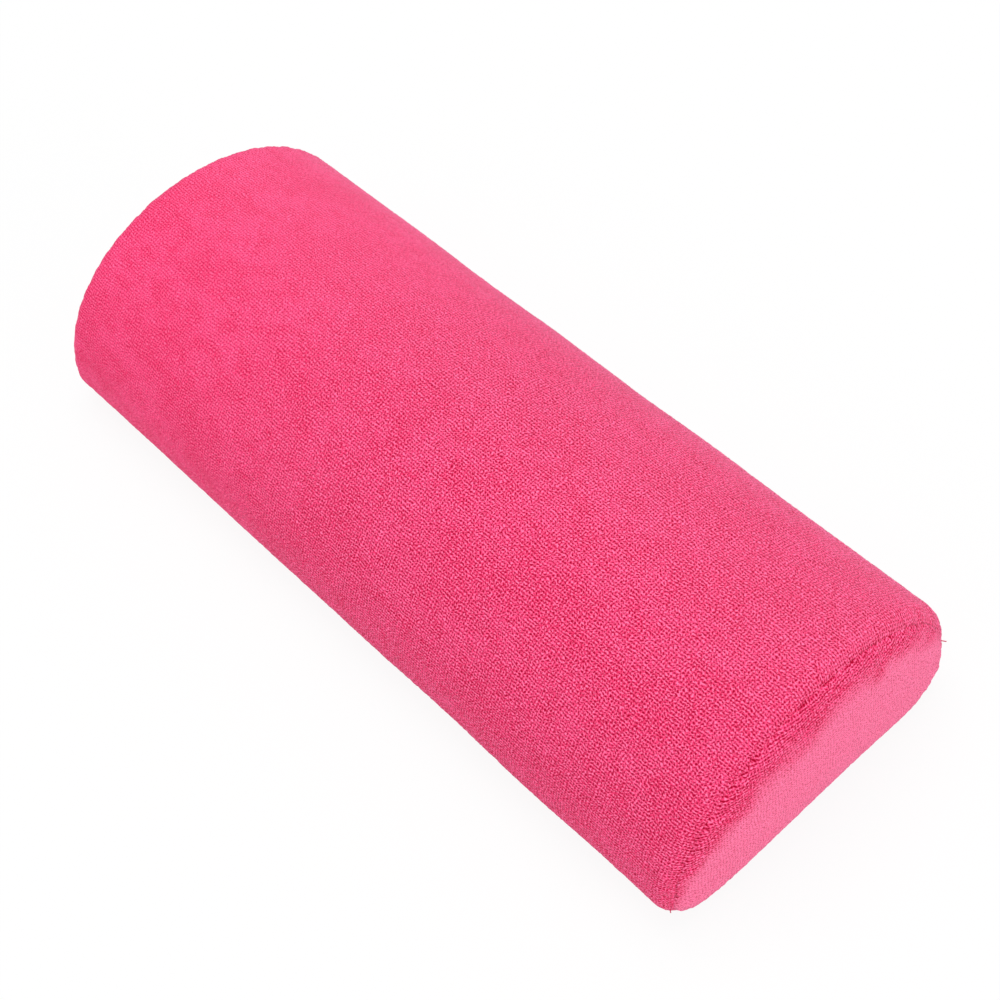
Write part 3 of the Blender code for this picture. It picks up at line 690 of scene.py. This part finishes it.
def finish_cloth(piece, u, v, height, to_seam, painted_sheen=0.0, closed=0.0, least_seam_gape_shade=0.0,
                 inner=0.0):
    """Raises the pile and gives the cloth its map and the three values that its finish reads.

    Painted gape shade = exp(-(distance to seam / 1.5 mm)^2), or the least that the whole panel has.
    The points after the outer face's have no pile, and `inner` is their place on the cloth.
    """
    spare = np.zeros(len(piece.data.vertices) - u.size)
    # Painted shade where the loops gape near a seam.
    seam_gape_shade = np.exp(-((np.maximum(to_seam, 0.0) / SEAM_GAPE_SHADE_REACH) ** 2))
    seam_gape_shade = np.maximum(seam_gape_shade, least_seam_gape_shade)
    cloth = np.column_stack([u.ravel(), v.ravel()])
    set_map(piece, np.vstack([cloth, np.column_stack([spare, spare]) + inner]))
    for name, values in (("seam_gape_shade", seam_gape_shade), ("painted_sheen", painted_sheen), ("closed", closed)):
        values = np.concatenate([np.broadcast_to(values, u.shape).ravel(), spare])
        attribute = piece.data.attributes.new(name, "FLOAT", "POINT")
        attribute.data.foreach_set("value", values.astype(np.float32))
    raise_pile(piece, np.concatenate([height.ravel(), spare]))


# %% Top panel
# Painted sheen over the rear of the arch.
REAR_PAINTED_SHEEN = 0.16
REAR_START = 0.035
REAR_REACH = 0.065
# Towards the far end the painted shade and highlights of the loops fade, with their bump.
FAR_END_FADE = 0.42
FAR_END_FADE_START_X = 0.02
FAR_END_FADE_REACH = 0.14
FAR_END_SHIFT = 0.5
INNER_ROWS = 61


def make_top_panel():
    """Outer grid in equal steps of cloth, jittered so that the loops don't line up."""
    reach = BASE_SEAM_WAY - CLEARANCE / 2
    rows = int(2 * reach / LOOP_STEP)
    columns = int(2 * END_SEAM_WAY / LOOP_STEP)
    across = np.linspace(-reach, reach, rows)[:, None]
    way = np.linspace(-END_SEAM_WAY, END_SEAM_WAY, columns)[None, :]
    rng = np.random.default_rng(SEEDS["top"])
    inside = np.pad(np.ones((rows - 2, columns - 2)), 1)
    v, u = (plain + inside * rng.uniform(-LOOP_JITTER, LOOP_JITTER, inside.shape) * LOOP_STEP
            for plain in (across, way))
    u = turned_in(u)
    v = np.hstack([v[:, :1], v, v[:, -1:]])
    x, lip = along(u)
    at = section(v)
    to_seam = END_SEAM_WAY - np.abs(u)
    way_beside = v + np.where(u > 0, 0.0, FAR_END_SHIFT)
    seam_pucker = pucker(to_seam, way_beside, SEEDS["top puckers"])
    outer = placed(at, x, dip(at, x) + lip + seam_pucker * (lip == 0))
    low = section(np.linspace(-reach, reach, INNER_ROWS)[:, None])
    piece = long_shell("towelling_top", outer, inner_face(low, FABRIC), TOWELLING)
    height = closed_seam(pile_relief(u, v, SEEDS["top"]), to_seam)
    height *= np.clip((reach - np.abs(v)) / BASE_SEAM_FADE + 0.3, 0.0, 1.0)
    # Fades the painted loop shade and highlights towards the far end.
    far_end_fade = FAR_END_FADE * smooth_step((FAR_END_FADE_START_X - x) / FAR_END_FADE_REACH)
    # Slight painted sheen over the rear of the arch.
    rear_painted_sheen = REAR_PAINTED_SHEEN * smooth_step((REAR_START - v) / REAR_REACH)
    near_edge = np.minimum(to_seam, reach - np.abs(v))
    finish_cloth(piece, u, v, height, near_edge, rear_painted_sheen, far_end_fade)
    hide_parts("top_panel")


# %% [markdown]
# ## Base panels
# Each half of the base sinks a little towards the zip and ends there in a folded edge. Its grid
# runs from the base seam over the flat and a quarter turn round the fold, where the inner face
# meets it. The table presses its pile flat.

# %% Base panels
FOLD_RADIUS = HEM_THICKNESS / 2
STITCH_FROM_FOLD = 0.0055
STITCH_GROOVE = 0.0006
GROOVE_REACH = 0.0009
PUCKER_START = 0.0004
BASE_PUCKERS = 0.6
BASE_PILE = 0.7
BASE_PRESSED = 0.00015
FOLD_PRESSED = 0.7
PRESSED_REACH = 0.005
PRESSED_HEIGHT = 0.0001
LOW_SHARES = np.concatenate([np.linspace(0.0, 0.72, 6), np.linspace(0.75, 1.0, 5), np.ones(3)])
LOW_TURNS = np.concatenate([np.zeros(11), quarter_turn(4)[1:]])


def fold_line(x):
    """Distance of the folded edge from the centre line: the slot with its round ends."""
    half = ZIP_OPENING_WIDTH / 2
    beyond = np.clip(np.abs(x) - (ZIP_OPENING_LENGTH / 2 - half), 0.0, half)
    return np.maximum(np.sqrt(half**2 - beyond**2), CLEARANCE / 2)


def base_rows(x, share, turn):
    """Stations and depths of a base half: shares of its width, then turns round the fold."""
    first = BASE_SEAM_WAY + CLEARANCE / 2
    last = BASE_SEAM_WAY + BASE_HALF - fold_line(x) - FOLD_RADIUS
    way = first + (last - first) * share + FOLD_RADIUS * np.sin(turn)
    return way, FOLD_RADIUS * (1.0 - np.cos(turn))


def make_base_panel(name, node, side):
    """One half of the base, for side 1 at the front and -1 at the rear.

    The groove under the stitches is 0.6 mm * exp(-(distance from their line / 0.9 mm)^2) deep.
    Beside the zip the pile is held down, clear of the slider and its pull.
    """
    way = np.linspace(-END_SEAM_WAY, END_SEAM_WAY, int(2 * END_SEAM_WAY / LOOP_STEP))
    way = np.unique(np.concatenate([way, -SLOT_END, SLOT_END]))
    steps = np.diff(way)
    room = np.minimum(np.append(steps, steps[-1]), np.append(steps[0], steps))
    rows = int((BASE_HALF - ZIP_OPENING_WIDTH / 2) / LOOP_STEP)
    share = np.concatenate([np.linspace(0.0, 1.0, rows), np.ones(4)])[:, None]
    turn = np.concatenate([np.zeros(rows), quarter_turn(5)[1:]])[:, None]
    rng = np.random.default_rng(SEEDS["base steps"])
    u = way + rng.uniform(-LOOP_JITTER, LOOP_JITTER, (len(share), len(way))) * room
    u[:, [0, -1]] = way[[0, -1]]
    u = turned_in(u)
    x, lip = along(u)
    v, rise = base_rows(x, share, turn)
    at = section(side * v)
    from_fold = BASE_SEAM_WAY + BASE_HALF - fold_line(x) - v
    from_stitch = from_fold - STITCH_FROM_FOLD
    on_stitch = np.exp(-((from_stitch / GROOVE_REACH) ** 2))
    waves = pucker(np.abs(from_stitch) + PUCKER_START, u, SEEDS["base puckers"])
    outer = placed(at, x, dip(at, x) + lip + rise + STITCH_GROOVE * on_stitch * (lip == 0))
    low_x = inner_columns()[0][None, :]
    low_v, fall = base_rows(low_x, LOW_SHARES[:, None], LOW_TURNS[:, None])
    low = section(side * low_v)
    wall = np.where(np.abs(low["y"]) < HEM_EDGE, HEM_THICKNESS, FABRIC)
    piece = long_shell(name, outer, inner_face(low, wall, -fall), TOWELLING)
    to_seam = END_SEAM_WAY - np.abs(u)
    pile = pile_relief(u, v, SEEDS["base"])
    height = BASE_PILE * (1.0 - on_stitch) * pile - BASE_PRESSED + waves * BASE_PUCKERS
    height = closed_seam(height, to_seam)
    height *= np.clip((v - BASE_SEAM_WAY) / BASE_SEAM_FADE, 0.0, 1.0)
    height *= 1.0 - FOLD_PRESSED * np.sin(turn)
    height = np.where(from_fold < PRESSED_REACH, np.minimum(height, PRESSED_HEIGHT), height)
    turned_back = 2 * low_v[-1] - low_v
    inner = np.column_stack([np.broadcast_to(low_x, low_v.shape).ravel(), turned_back.ravel()])
    finish_cloth(piece, u, v, height, np.minimum(to_seam, v - BASE_SEAM_WAY), inner=inner)
    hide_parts(node)


# %% [markdown]
# ## End panels
# Each end is a D of towelling sewn into the arch, which the foam pushes out to a low dome. No
# grid fits a D, so its points are a lattice in the flat cloth that Blender's Delaunay
# triangulation joins to the rim. Each point then finds its place on the dome by its way out
# from the centre, measured on the cloth.

# %% The dome of an end panel
RIM_X = END_SEAM_X + CLEARANCE / 2
DOME_SHARES = np.sin(quarter_turn(300))
WAY_SHARES = np.linspace(0.0, 1.0, 300)
INNER_STEP = 0.005
INNER_RIM_POINTS = 80
LATTICE_REACH = 0.07
RIM_MARGIN = 0.7


def dome_table(rise, wall):
    """Stations round the rim of a dome x = rise * sqrt(1 - share^1.6), in order of angle.

    Each has its angle, its way out along the dome, and for equal parts of that way the share
    of the rim's distance that is reached.
    """
    way = np.linspace(-CENTRE_WAY, CENTRE_WAY, 721)
    at = section(way)
    rim = placed(at, 0.0, END_SEAM_DIP * at["share"] + wall)[:, 1:]
    out = rim - np.array([0.0, CROWN_CENTRE_HEIGHT])
    angle = np.unwrap(np.arctan2(out[:, 1], out[:, 0]))
    radius = np.hypot(out[:, 0], out[:, 1])
    x = rise * np.sqrt(1.0 - DOME_SHARES**CROWN_POWER)
    steps = np.hypot(radius[:, None] * np.diff(DOME_SHARES), np.diff(x))
    reach = np.hstack([np.zeros((len(way), 1)), np.cumsum(steps, axis=1)])
    shares = np.array([np.interp(WAY_SHARES * line[-1], line, DOME_SHARES) for line in reach])
    order = np.argsort(angle)
    return {"angle": angle[order], "way": way[order], "reach": reach[order, -1],
            "shares": shares[order]}


def angle_in(table, flat):
    """Angles of points in the flat cloth, in the turn that the table covers."""
    start = table["angle"][0]
    return start + np.mod(np.arctan2(flat[:, 1], flat[:, 0]) - start, 2 * math.pi)


def on_dome(table, flat, rise, wall, side):
    """Points of the flat cloth, from its centre, placed on the dome."""
    angle = angle_in(table, flat)
    reach = np.interp(angle, table["angle"], table["reach"])
    way = np.interp(angle, table["angle"], table["way"])
    part = np.clip(np.hypot(flat[:, 0], flat[:, 1]) / reach, 0.0, 1.0)
    row = np.interp(angle, table["angle"], np.arange(len(table["angle"])))
    i = np.clip(row.astype(int), 0, len(table["angle"]) - 2)
    column = part * (len(WAY_SHARES) - 1)
    j = np.clip(column.astype(int), 0, len(WAY_SHARES) - 2)
    share = between_four(table["shares"], i, j, row - i, column - j)
    at = section(way)
    notch = dip(at, PANEL_END_X) - END_SEAM_DIP * at["share"]
    at_rim = np.maximum(0.0, 1.0 - (1.0 - share) / NOTCH_REACH)
    edge = placed(at, 0.0, END_SEAM_DIP * at["share"] + notch * at_rim + wall)
    points = CENTRE + (edge - CENTRE) * share[:, None]
    points[:, 0] = side * (RIM_X + rise * np.sqrt(1.0 - share**CROWN_POWER))
    return points, reach * (1.0 - part), way


def dome_mesh(table, step, rim_points):
    """A lattice in the flat cloth joined to its rim: points and triangles."""
    way = np.linspace(-CENTRE_WAY, CENTRE_WAY, rim_points + 1)[:-1]
    order = np.argsort(table["way"])
    angle = np.interp(way, table["way"][order], table["angle"][order])
    reach = np.interp(way, table["way"][order], table["reach"][order])
    rim = np.column_stack([np.cos(angle), np.sin(angle)]) * reach[:, None]
    span = int(LATTICE_REACH / step)
    i, j = np.meshgrid(np.arange(-span, span + 1), np.arange(-span, span + 1))
    spot = np.column_stack([i.ravel(), j.ravel()])
    rng = np.random.default_rng(SEEDS["end steps"])
    lattice = (spot + rng.uniform(-LOOP_JITTER, LOOP_JITTER, spot.shape)) * step
    limit = np.interp(angle_in(table, lattice), table["angle"], table["reach"])
    limit -= RIM_MARGIN * step
    keep = np.hypot(lattice[:, 0], lattice[:, 1]) < limit
    flat = np.vstack([rim, lattice[keep]])
    border = [(k, (k + 1) % len(rim)) for k in range(len(rim))]
    seen = [Vector(p) for p in (flat * 1000).tolist()]
    _, _, triangles, source, _, _ = delaunay_2d_cdt(seen, border, [], 1, 1e-6)
    first = np.array([s[0] for s in source])
    return flat, first[np.array(triangles)]


# %% End panels
# Where and how strongly a sheen is painted on the end panels, and how far the painted loop shade
# fades there.
PAINTED_SHEEN_START = 0.0085
PAINTED_SHEEN_SLANT = 0.05
PAINTED_SHEEN_REACH = 0.0110
PAINTED_SHEEN_RAGGED = 0.0030
PAINTED_SHEEN_RAG_SIZE = 0.006
PAINTED_SHEEN_SHARE = 0.85
SHEEN_SIDE_CLOSED = 0.30
END_GAPE_SHADE = 0.6


def make_end_panel(name, node, side):
    """The crowned D at one end: an outer dome with pile, an inner one, and a strip at the rim.

    Under the arch its loops are packed close, with wider painted shade in their hollows. From a
    ragged line 8.5 mm - 0.05 * Y below the arch a sheen is painted on and the painted shade of the
    loops is partly shut, fully so 11 mm further down.
    """
    rise = LENGTH / 2 - RIM_X
    rim_points = int(2 * CENTRE_WAY / LOOP_STEP)
    table = dome_table(rise, 0.0)
    flat, faces = dome_mesh(table, LOOP_STEP, rim_points)
    points, to_rim, way = on_dome(table, flat, rise, 0.0, side)
    low_table = dome_table(rise - FABRIC, FABRIC)
    low_flat, low_faces = dome_mesh(low_table, INNER_STEP, INNER_RIM_POINTS)
    low_points, _, _ = on_dome(low_table, low_flat, rise - FABRIC, FABRIC, side)
    rim = np.append(np.arange(rim_points), 0)
    low_rim = np.append(np.arange(INNER_RIM_POINTS), 0) + len(points)
    every = np.vstack([points, low_points])
    blocks = [faces, low_faces[:, ::-1] + len(points), strip_faces(rim, low_rim)[:, ::-1]]
    piece = add_piece(name, every, facing_out(every, blocks), TOWELLING)
    u, v = flat[:, 0] * side, flat[:, 1]
    puckers = pucker(to_rim, way, SEEDS["end puckers"])
    height = closed_seam(pile_relief(u, v, SEEDS["end"]) - puckers, to_rim)
    # The painted sheen begins below the arch, on the lower part of the end panel.
    arch = EDGE_RADIUS + ARCH_RISE * np.sqrt(1.0 - (points[:, 1] / HALF_WIDTH) ** 2)
    ragged = drift(u, v, PAINTED_SHEEN_RAG_SIZE, SEEDS["sheen side"]) * PAINTED_SHEEN_RAGGED
    start = PAINTED_SHEEN_START - PAINTED_SHEEN_SLANT * points[:, 1] + ragged
    painted_sheen_side = smooth_step((arch - points[:, 2] - start) / PAINTED_SHEEN_REACH)
    finish_cloth(piece, u, v, height, to_rim, PAINTED_SHEEN_SHARE * painted_sheen_side, SHEEN_SIDE_CLOSED * painted_sheen_side,
                 END_GAPE_SHADE * (1.0 - painted_sheen_side))
    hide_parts(node)


# %% [markdown]
# ## Foam block
# One block of soft foam fills the cover, with a relief over the zip.

# %% Foam block
ZIP_RELIEF = 0.0041
TAPE_RELIEF_EDGE = 0.001
SLIDER_RELIEF = 0.0053
SLIDER_RELIEF_REACH = 0.0018
SLIDER_RELIEF_EDGE = 0.0015
CROWN_SHARES = np.array([0.985, 0.95, 0.89, 0.8, 0.68, 0.54, 0.38, 0.2])[:, None, None]


def ring_shell(rings, poles):
    """Points and faces of closed loops joined one to the next, with a point at either end."""
    count, around = rings.shape[:2]
    index = np.arange(count * around).reshape(count, around)
    after = np.roll(index, -1, axis=1)
    quads = np.stack([index[:-1], after[:-1], after[1:], index[1:]], axis=-1).reshape(-1, 4)
    tips = count * around + np.arange(2)
    first = np.column_stack([after[0], index[0], np.full(around, tips[0])])
    last = np.column_stack([index[-1], after[-1], np.full(around, tips[1])])
    return np.vstack([rings.reshape(-1, 3), poles]), [quads, first, last]


def make_foam_block():
    """The half-round block: the section a little inside the cloth, relieved over the zip."""
    at = section(np.linspace(-CENTRE_WAY, CENTRE_WAY, 181)[:-1])
    side = np.abs(at["y"])
    layer = FABRIC + CLEARANCE
    beside_tape = HEM_EDGE + TAPE_RELIEF_EDGE - side
    beside_slider = ZIP_OPENING_WIDTH / 2 + SLIDER_RELIEF_REACH - side
    over_tape = smooth_step(beside_tape / TAPE_RELIEF_EDGE) * at["on_base"]
    over_slider = smooth_step(beside_slider / SLIDER_RELIEF_EDGE) * at["on_base"]
    layer = layer + (ZIP_RELIEF - layer) * over_tape + (SLIDER_RELIEF - ZIP_RELIEF) * over_slider
    shoulder = PANEL_END_X - FABRIC - CLEARANCE
    roll = shoulder - ROLL_START_X + END_SEAM_DIP / 2
    start = shoulder - roll
    straight = np.concatenate([np.linspace(0.0, TAPE_END_X, 60),
                               np.linspace(TAPE_END_X, start, 6)[1:]])
    turn = quarter_turn(9)[1:, None]
    rim_depth = np.maximum(dip(at, PANEL_END_X) + SEAM_ALLOWANCE + CLEARANCE,
                           layer + LEAST_INNER_ROLL)
    level = dip(at, straight[:, None]) + layer
    rolled = level[-1] + (rim_depth - level[-1]) * (1.0 - np.cos(turn))
    x = np.concatenate([straight, (start + roll * np.sin(turn))[:, 0]])[:, None]
    half = placed(at, x, np.vstack([level, rolled]))
    tip = LENGTH / 2 - FABRIC - CLEARANCE
    crown = CENTRE + (half[-1] - CENTRE) * CROWN_SHARES
    dome = np.sqrt(1.0 - CROWN_SHARES**CROWN_POWER)
    crown[..., 0] = (shoulder + (tip - shoulder) * dome)[..., 0]
    half = np.vstack([half, crown])
    other = half[:0:-1] * np.array([-1.0, 1.0, 1.0])
    poles = [(-tip, 0.0, CROWN_CENTRE_HEIGHT), (tip, 0.0, CROWN_CENTRE_HEIGHT)]
    points, faces = ring_shell(np.vstack([other, half]), poles)
    piece = add_piece("foam_block", points, facing_out(points, faces), FOAM)
    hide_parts("foam_core")


# %% Sew the cover together
make_foam_block()
make_top_panel()
make_end_panel("towelling_end_near", "end_panel_near", 1)
make_end_panel("towelling_end_far", "end_panel_far", -1)
make_base_panel("towelling_base_front", "base_panel_front", 1)
make_base_panel("towelling_base_rear", "base_panel_rear", -1)

# %% [markdown]
# ## Zip
# Each tape of the zip is a woven ribbon. Its coil is one thread of nylon in flattened turns,
# whose heads reach past the middle between those of the other coil: a tube along that winding.

# %% Tubes along a path
def tube(path, radius, sides, across):
    """A round tube along a path. `across` is a direction that the path never runs along."""
    path = np.asarray(path, float)
    along_path = np.gradient(path, axis=0)
    along_path /= np.linalg.norm(along_path, axis=1)[:, None]
    first = across - along_path * (along_path @ across)[:, None]
    first /= np.linalg.norm(first, axis=1)[:, None]
    second = np.cross(along_path, first)
    turn = np.linspace(0.0, 2 * math.pi, sides, endpoint=False)[None, :, None]
    radius = np.broadcast_to(radius, len(path))[:, None, None]
    spokes = first[:, None] * np.cos(turn) + second[:, None] * np.sin(turn)
    return ring_shell(path[:, None] + radius * spokes, [path[0], path[-1]])


def several(parts):
    """Several shells as the points and faces of one mesh."""
    points, blocks, first = [], [], 0
    for part_points, part_faces in parts:
        points.append(part_points)
        blocks += [block + first for block in part_faces]
        first += len(part_points)
    return np.vstack(points), blocks


# %% Tapes
TAPE_FLARE = 0.0011
TAPE_FLARE_LENGTH = 0.0027
TAPE_WAVE_HEIGHT = 0.00005
TAPE_WAVE_LENGTH = 0.009


def make_tape(name, node, side):
    """A woven ribbon whose inner edge parts from the other one's above the coil."""
    low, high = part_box(node)
    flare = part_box("zip_coil_front")[1].x - CLEARANCE
    x = np.linspace(low.x, high.x, 257)[None, :]
    inner, outer_edge = sorted((abs(low.y), abs(high.y)))
    part = smooth_step((x - flare + TAPE_FLARE_LENGTH) / TAPE_FLARE_LENGTH)
    inner_edge = inner + part * TAPE_FLARE
    share = np.linspace(0.0, 1.0, 13)[:, None]
    y = side * (inner_edge + (outer_edge - inner_edge) * share)
    x = np.broadcast_to(x, y.shape)
    wave = TAPE_WAVE_HEIGHT * np.sin(x / TAPE_WAVE_LENGTH + side) * share
    under = np.stack([x, y, low.z + wave], axis=-1)
    over = np.stack([x, y, high.z + wave], axis=-1)
    piece = long_shell(name, under, over, TAPE)
    cloth = np.column_stack([x.ravel(), y.ravel()])
    set_map(piece, np.vstack([cloth, cloth]))
    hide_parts(node)


make_tape("zip_ribbon_front", "zip_tape_front", -1)
make_tape("zip_ribbon_rear", "zip_tape_rear", 1)

# %% Coils
TOOTH_PITCH = 0.0015
NYLON_RADIUS = 0.00028
NYLON_SQUARENESS = 0.75
TURN_POINTS = 16
TUBE_SIDES = 6


def make_coil(name, node, side):
    """One nylon thread in flattened turns. Its rear twin is half a pitch on, so they mesh."""
    low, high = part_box(node)
    teeth = int((high.x - low.x) / TOOTH_PITCH)
    pitch = (high.x - low.x) / teeth
    turns = teeth - 1
    angle = np.linspace(0.0, 2 * math.pi * turns, turns * TURN_POINTS + 1)
    back, reach = sorted((-side * low.y, -side * high.y))
    middle, half = (reach + back) / 2, (reach - back) / 2 - NYLON_RADIUS
    flat = np.sign(np.cos(angle)) * np.abs(np.cos(angle)) ** NYLON_SQUARENESS
    start = low.x + pitch * (0.25 if side < 0 else 0.75)
    height = (low.z + high.z) / 2 + ((high.z - low.z) / 2 - NYLON_RADIUS) * np.sin(angle)
    path = np.column_stack([start + pitch * angle / (2 * math.pi),
                            -side * (middle + half * flat), height])
    points, faces = tube(path, NYLON_RADIUS, TUBE_SIDES, np.array([1.0, 0.0, 0.0]))
    piece = add_piece(name, points, faces, NYLON)
    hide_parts(node)


make_coil("zip_winding_front", "zip_coil_front", -1)
make_coil("zip_winding_rear", "zip_coil_rear", 1)

# %% [markdown]
# The stops, the slider and its pull tab are plain castings, so their solids stay, in nickel.

# %% Metal parts
for part in ("zip_top_stop_front", "zip_top_stop_rear", "zip_bottom_stop", "zip_slider",
             "zip_pull"):
    node_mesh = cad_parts[part].data
    node_mesh.materials.clear()
    node_mesh.materials.append(METAL)
    print(part, "in nickel")

# %% [markdown]
# ## Stitching
# A line of lockstitch round the zip holds the folded edges to the tapes. Each stitch comes out
# of the cloth, lies in the groove that it pulls, and goes back in. At the two lower corners of
# the near end the thread of the seam was cut with a short tail.

# %% Topstitching round the zip
STITCH_LENGTH = 0.0028
STITCH_GAP = 0.0005
THREAD_RADIUS = 0.00022
STITCH_REST = 0.3


def stitch_run(start, end, up):
    """Stitches from start to end, each an arched tube with its ends sunk into the cloth.

    At a share t of a stitch its middle lies (1.6 * sin(pi * t)^0.6 - 0.7) radii over the line.
    """
    start, end, up = (np.asarray(w, float) for w in (start, end, up))
    length = np.linalg.norm(end - start)
    count = max(1, int(length / (STITCH_LENGTH + STITCH_GAP)))
    step = (end - start) / count
    part = np.linspace(0.0, 1.0, 6)
    lift = (np.sin(part * math.pi) ** 0.6 * 1.6 - 0.7) * THREAD_RADIUS
    shells = []
    for k in range(count):
        at = start + step * (k + part[:, None] * (1.0 - STITCH_GAP / STITCH_LENGTH))
        taper = THREAD_RADIUS * (0.75 + 0.25 * np.sin(part * math.pi))
        shells.append(tube(at + lift[:, None] * up, taper, TUBE_SIDES, up))
    return shells


def make_topstitching():
    """A rectangle of stitches round the opening, on the outside of the base."""
    y = ZIP_OPENING_WIDTH / 2 + STITCH_FROM_FOLD
    x = ZIP_OPENING_LENGTH / 2 + STITCH_FROM_FOLD
    z = VALLEY_DEPTH + STITCH_GROOVE * STITCH_REST
    corners = [(-x, -y, z), (x, -y, z), (x, y, z), (-x, y, z), (-x, -y, z)]
    shells = []
    for one, other in zip(corners, corners[1:]):
        shells += stitch_run(one, other, (0.0, 0.0, -1.0))
    points, faces = several(shells)
    piece = add_piece("topstitching", points, faces, THREAD)


make_topstitching()


# %% Cut ends of the seam thread
TAIL_RADIUS = 0.00016


def make_thread_tail(name, way, depth, bends):
    """A short tail of thread: (1 - t)^2 * start + 2 * t * (1 - t) * bend + t^2 * end."""
    start = placed(section(way), END_SEAM_X, depth)
    knots = np.vstack([start, start + np.asarray(bends)])
    t = np.linspace(0.0, 1.0, 14)[:, None]
    path = (1 - t) ** 2 * knots[0] + 2 * t * (1 - t) * knots[1] + t**2 * knots[2]
    points, faces = tube(path, TAIL_RADIUS, TUBE_SIDES, np.array([0.1, 0.2, 1.0]))
    add_piece(name, points, faces, THREAD)


make_thread_tail("thread_tail_front", 0.0909, 0.0020,
                 [(0.0002, -0.0005, 0.0), (0.0008, -0.0008, 0.0)])
make_thread_tail("thread_tail_rear", -0.0795, 0.0036,
                 [(0.0012, 0.0007, 0.0), (0.0015, 0.0010, 0.0)])

# %% [markdown]
# ## Studio
# A camera as far off and as long as the one that a fit to the photograph's outline gives, a
# white floor that keeps a soft shadow, and broad plain light.

# %% Camera
CAMERA_TURN = 0.949
CAMERA_HEIGHT = 0.903
CAMERA_ROLL = -0.149
FOCAL_PIXELS = math.exp(7.557)
CAMERA_DISTANCE = math.exp(6.407) / 1000
PICTURE = 1000
SENSOR_WIDTH = 36.0
SHIFT_PIXELS = (-29.436, -33.648)
TARGET = np.array([0.0, 0.0, 0.030])


def make_camera():
    """Looks at the target from a turn and a height, rolled a little, with a small shift."""
    back = np.array([math.sin(CAMERA_TURN) * math.cos(CAMERA_HEIGHT),
                     -math.cos(CAMERA_TURN) * math.cos(CAMERA_HEIGHT), math.sin(CAMERA_HEIGHT)])
    right = np.array([math.cos(CAMERA_TURN), math.sin(CAMERA_TURN), 0.0])
    up = np.cross(back, right)
    c, s = math.cos(CAMERA_ROLL), math.sin(CAMERA_ROLL)
    columns = np.column_stack([c * right + s * up, -s * right + c * up, back])
    data = bpy.data.cameras.new("camera")
    data.sensor_width = SENSOR_WIDTH
    data.lens = FOCAL_PIXELS / PICTURE * SENSOR_WIDTH
    data.shift_x = -SHIFT_PIXELS[0] / PICTURE
    data.shift_y = SHIFT_PIXELS[1] / PICTURE
    data.clip_start = 0.01
    data.clip_end = 50.0
    camera = add_object("camera", data)
    camera.matrix_world = (Matrix.Translation(Vector(TARGET + back * CAMERA_DISTANCE))
                           @ Matrix(columns.tolist()).to_4x4())
    bpy.context.scene.camera = camera
    print("camera %.0f mm lens at %.0f mm" % (data.lens, CAMERA_DISTANCE * 1000))


make_camera()

# %% Floor
FLOOR_SIZE = 8.0
FLOOR_LEVEL = -0.0002
SHADOW_KEPT = 0.09


def make_floor():
    """A white floor. To the camera most of it is plain white, and the rest keeps the shadow."""
    f = Finish("floor")
    f.set(Base_Color=(0.85, 0.85, 0.85, 1.0), Roughness=1.0, Specular_IOR_Level=0.0)
    white = f.add("Emission", Color=(1.0, 1.0, 1.0, 1.0), Strength=1.0).outputs[0]
    seen = f.add("LightPath").outputs["Is Camera Ray"]
    mix = f.add("MixShader")
    f.put(mix.inputs[0], f.times(seen, 1.0 - SHADOW_KEPT))
    f.put(mix.inputs[1], f.shader.outputs[0])
    f.put(mix.inputs[2], white)
    f.put(f.tree.nodes["Material Output"].inputs["Surface"], mix.outputs[0])
    mesh = bpy.data.meshes.new("floor")
    half = FLOOR_SIZE / 2
    mesh.from_pydata([(x * half, y * half, FLOOR_LEVEL) for x, y in
                      ((-1, -1), (1, -1), (1, 1), (-1, 1))], [], [(0, 1, 2, 3)])
    mesh.materials.append(f.made)
    add_object("floor", mesh)


make_floor()

# %% World and lamps
WORLD_LEVEL = 0.62


def make_world():
    """Even light from all round, which the camera and reflections see as white."""
    f = Finish("studio", bpy.data.worlds.new("studio"))
    rays = f.add("LightPath").outputs
    seen = f.maths("MAXIMUM", rays["Is Camera Ray"], rays["Is Glossy Ray"])
    level = f.add("MapRange", Value=seen, To_Min=WORLD_LEVEL, To_Max=1.0).outputs["Result"]
    f.set(Color=(1.0, 1.0, 1.0, 1.0), Strength=level)
    bpy.context.scene.world = f.made


def add_lamp(name, place, size, power):
    """A square area lamp that points at the middle of the cushion."""
    data = bpy.data.lights.new(name, "AREA")
    data.size = size
    data.energy = power
    lamp = add_object(name, data)
    place = Vector(place)
    lamp.location = place
    lamp.rotation_euler = (Vector(TARGET) - place).to_track_quat("-Z", "Y").to_euler()


make_world()
add_lamp("key_lamp", (-0.2, 0.15, 1.40), 1.0, 11.0)
add_lamp("fill_lamp", (0.1, -1.4, 0.45), 1.0, 4.0)
add_lamp("end_lamp", (1.4, 0.25, 0.35), 0.9, 7.5)
bpy.context.scene.view_settings.view_transform = "Standard"
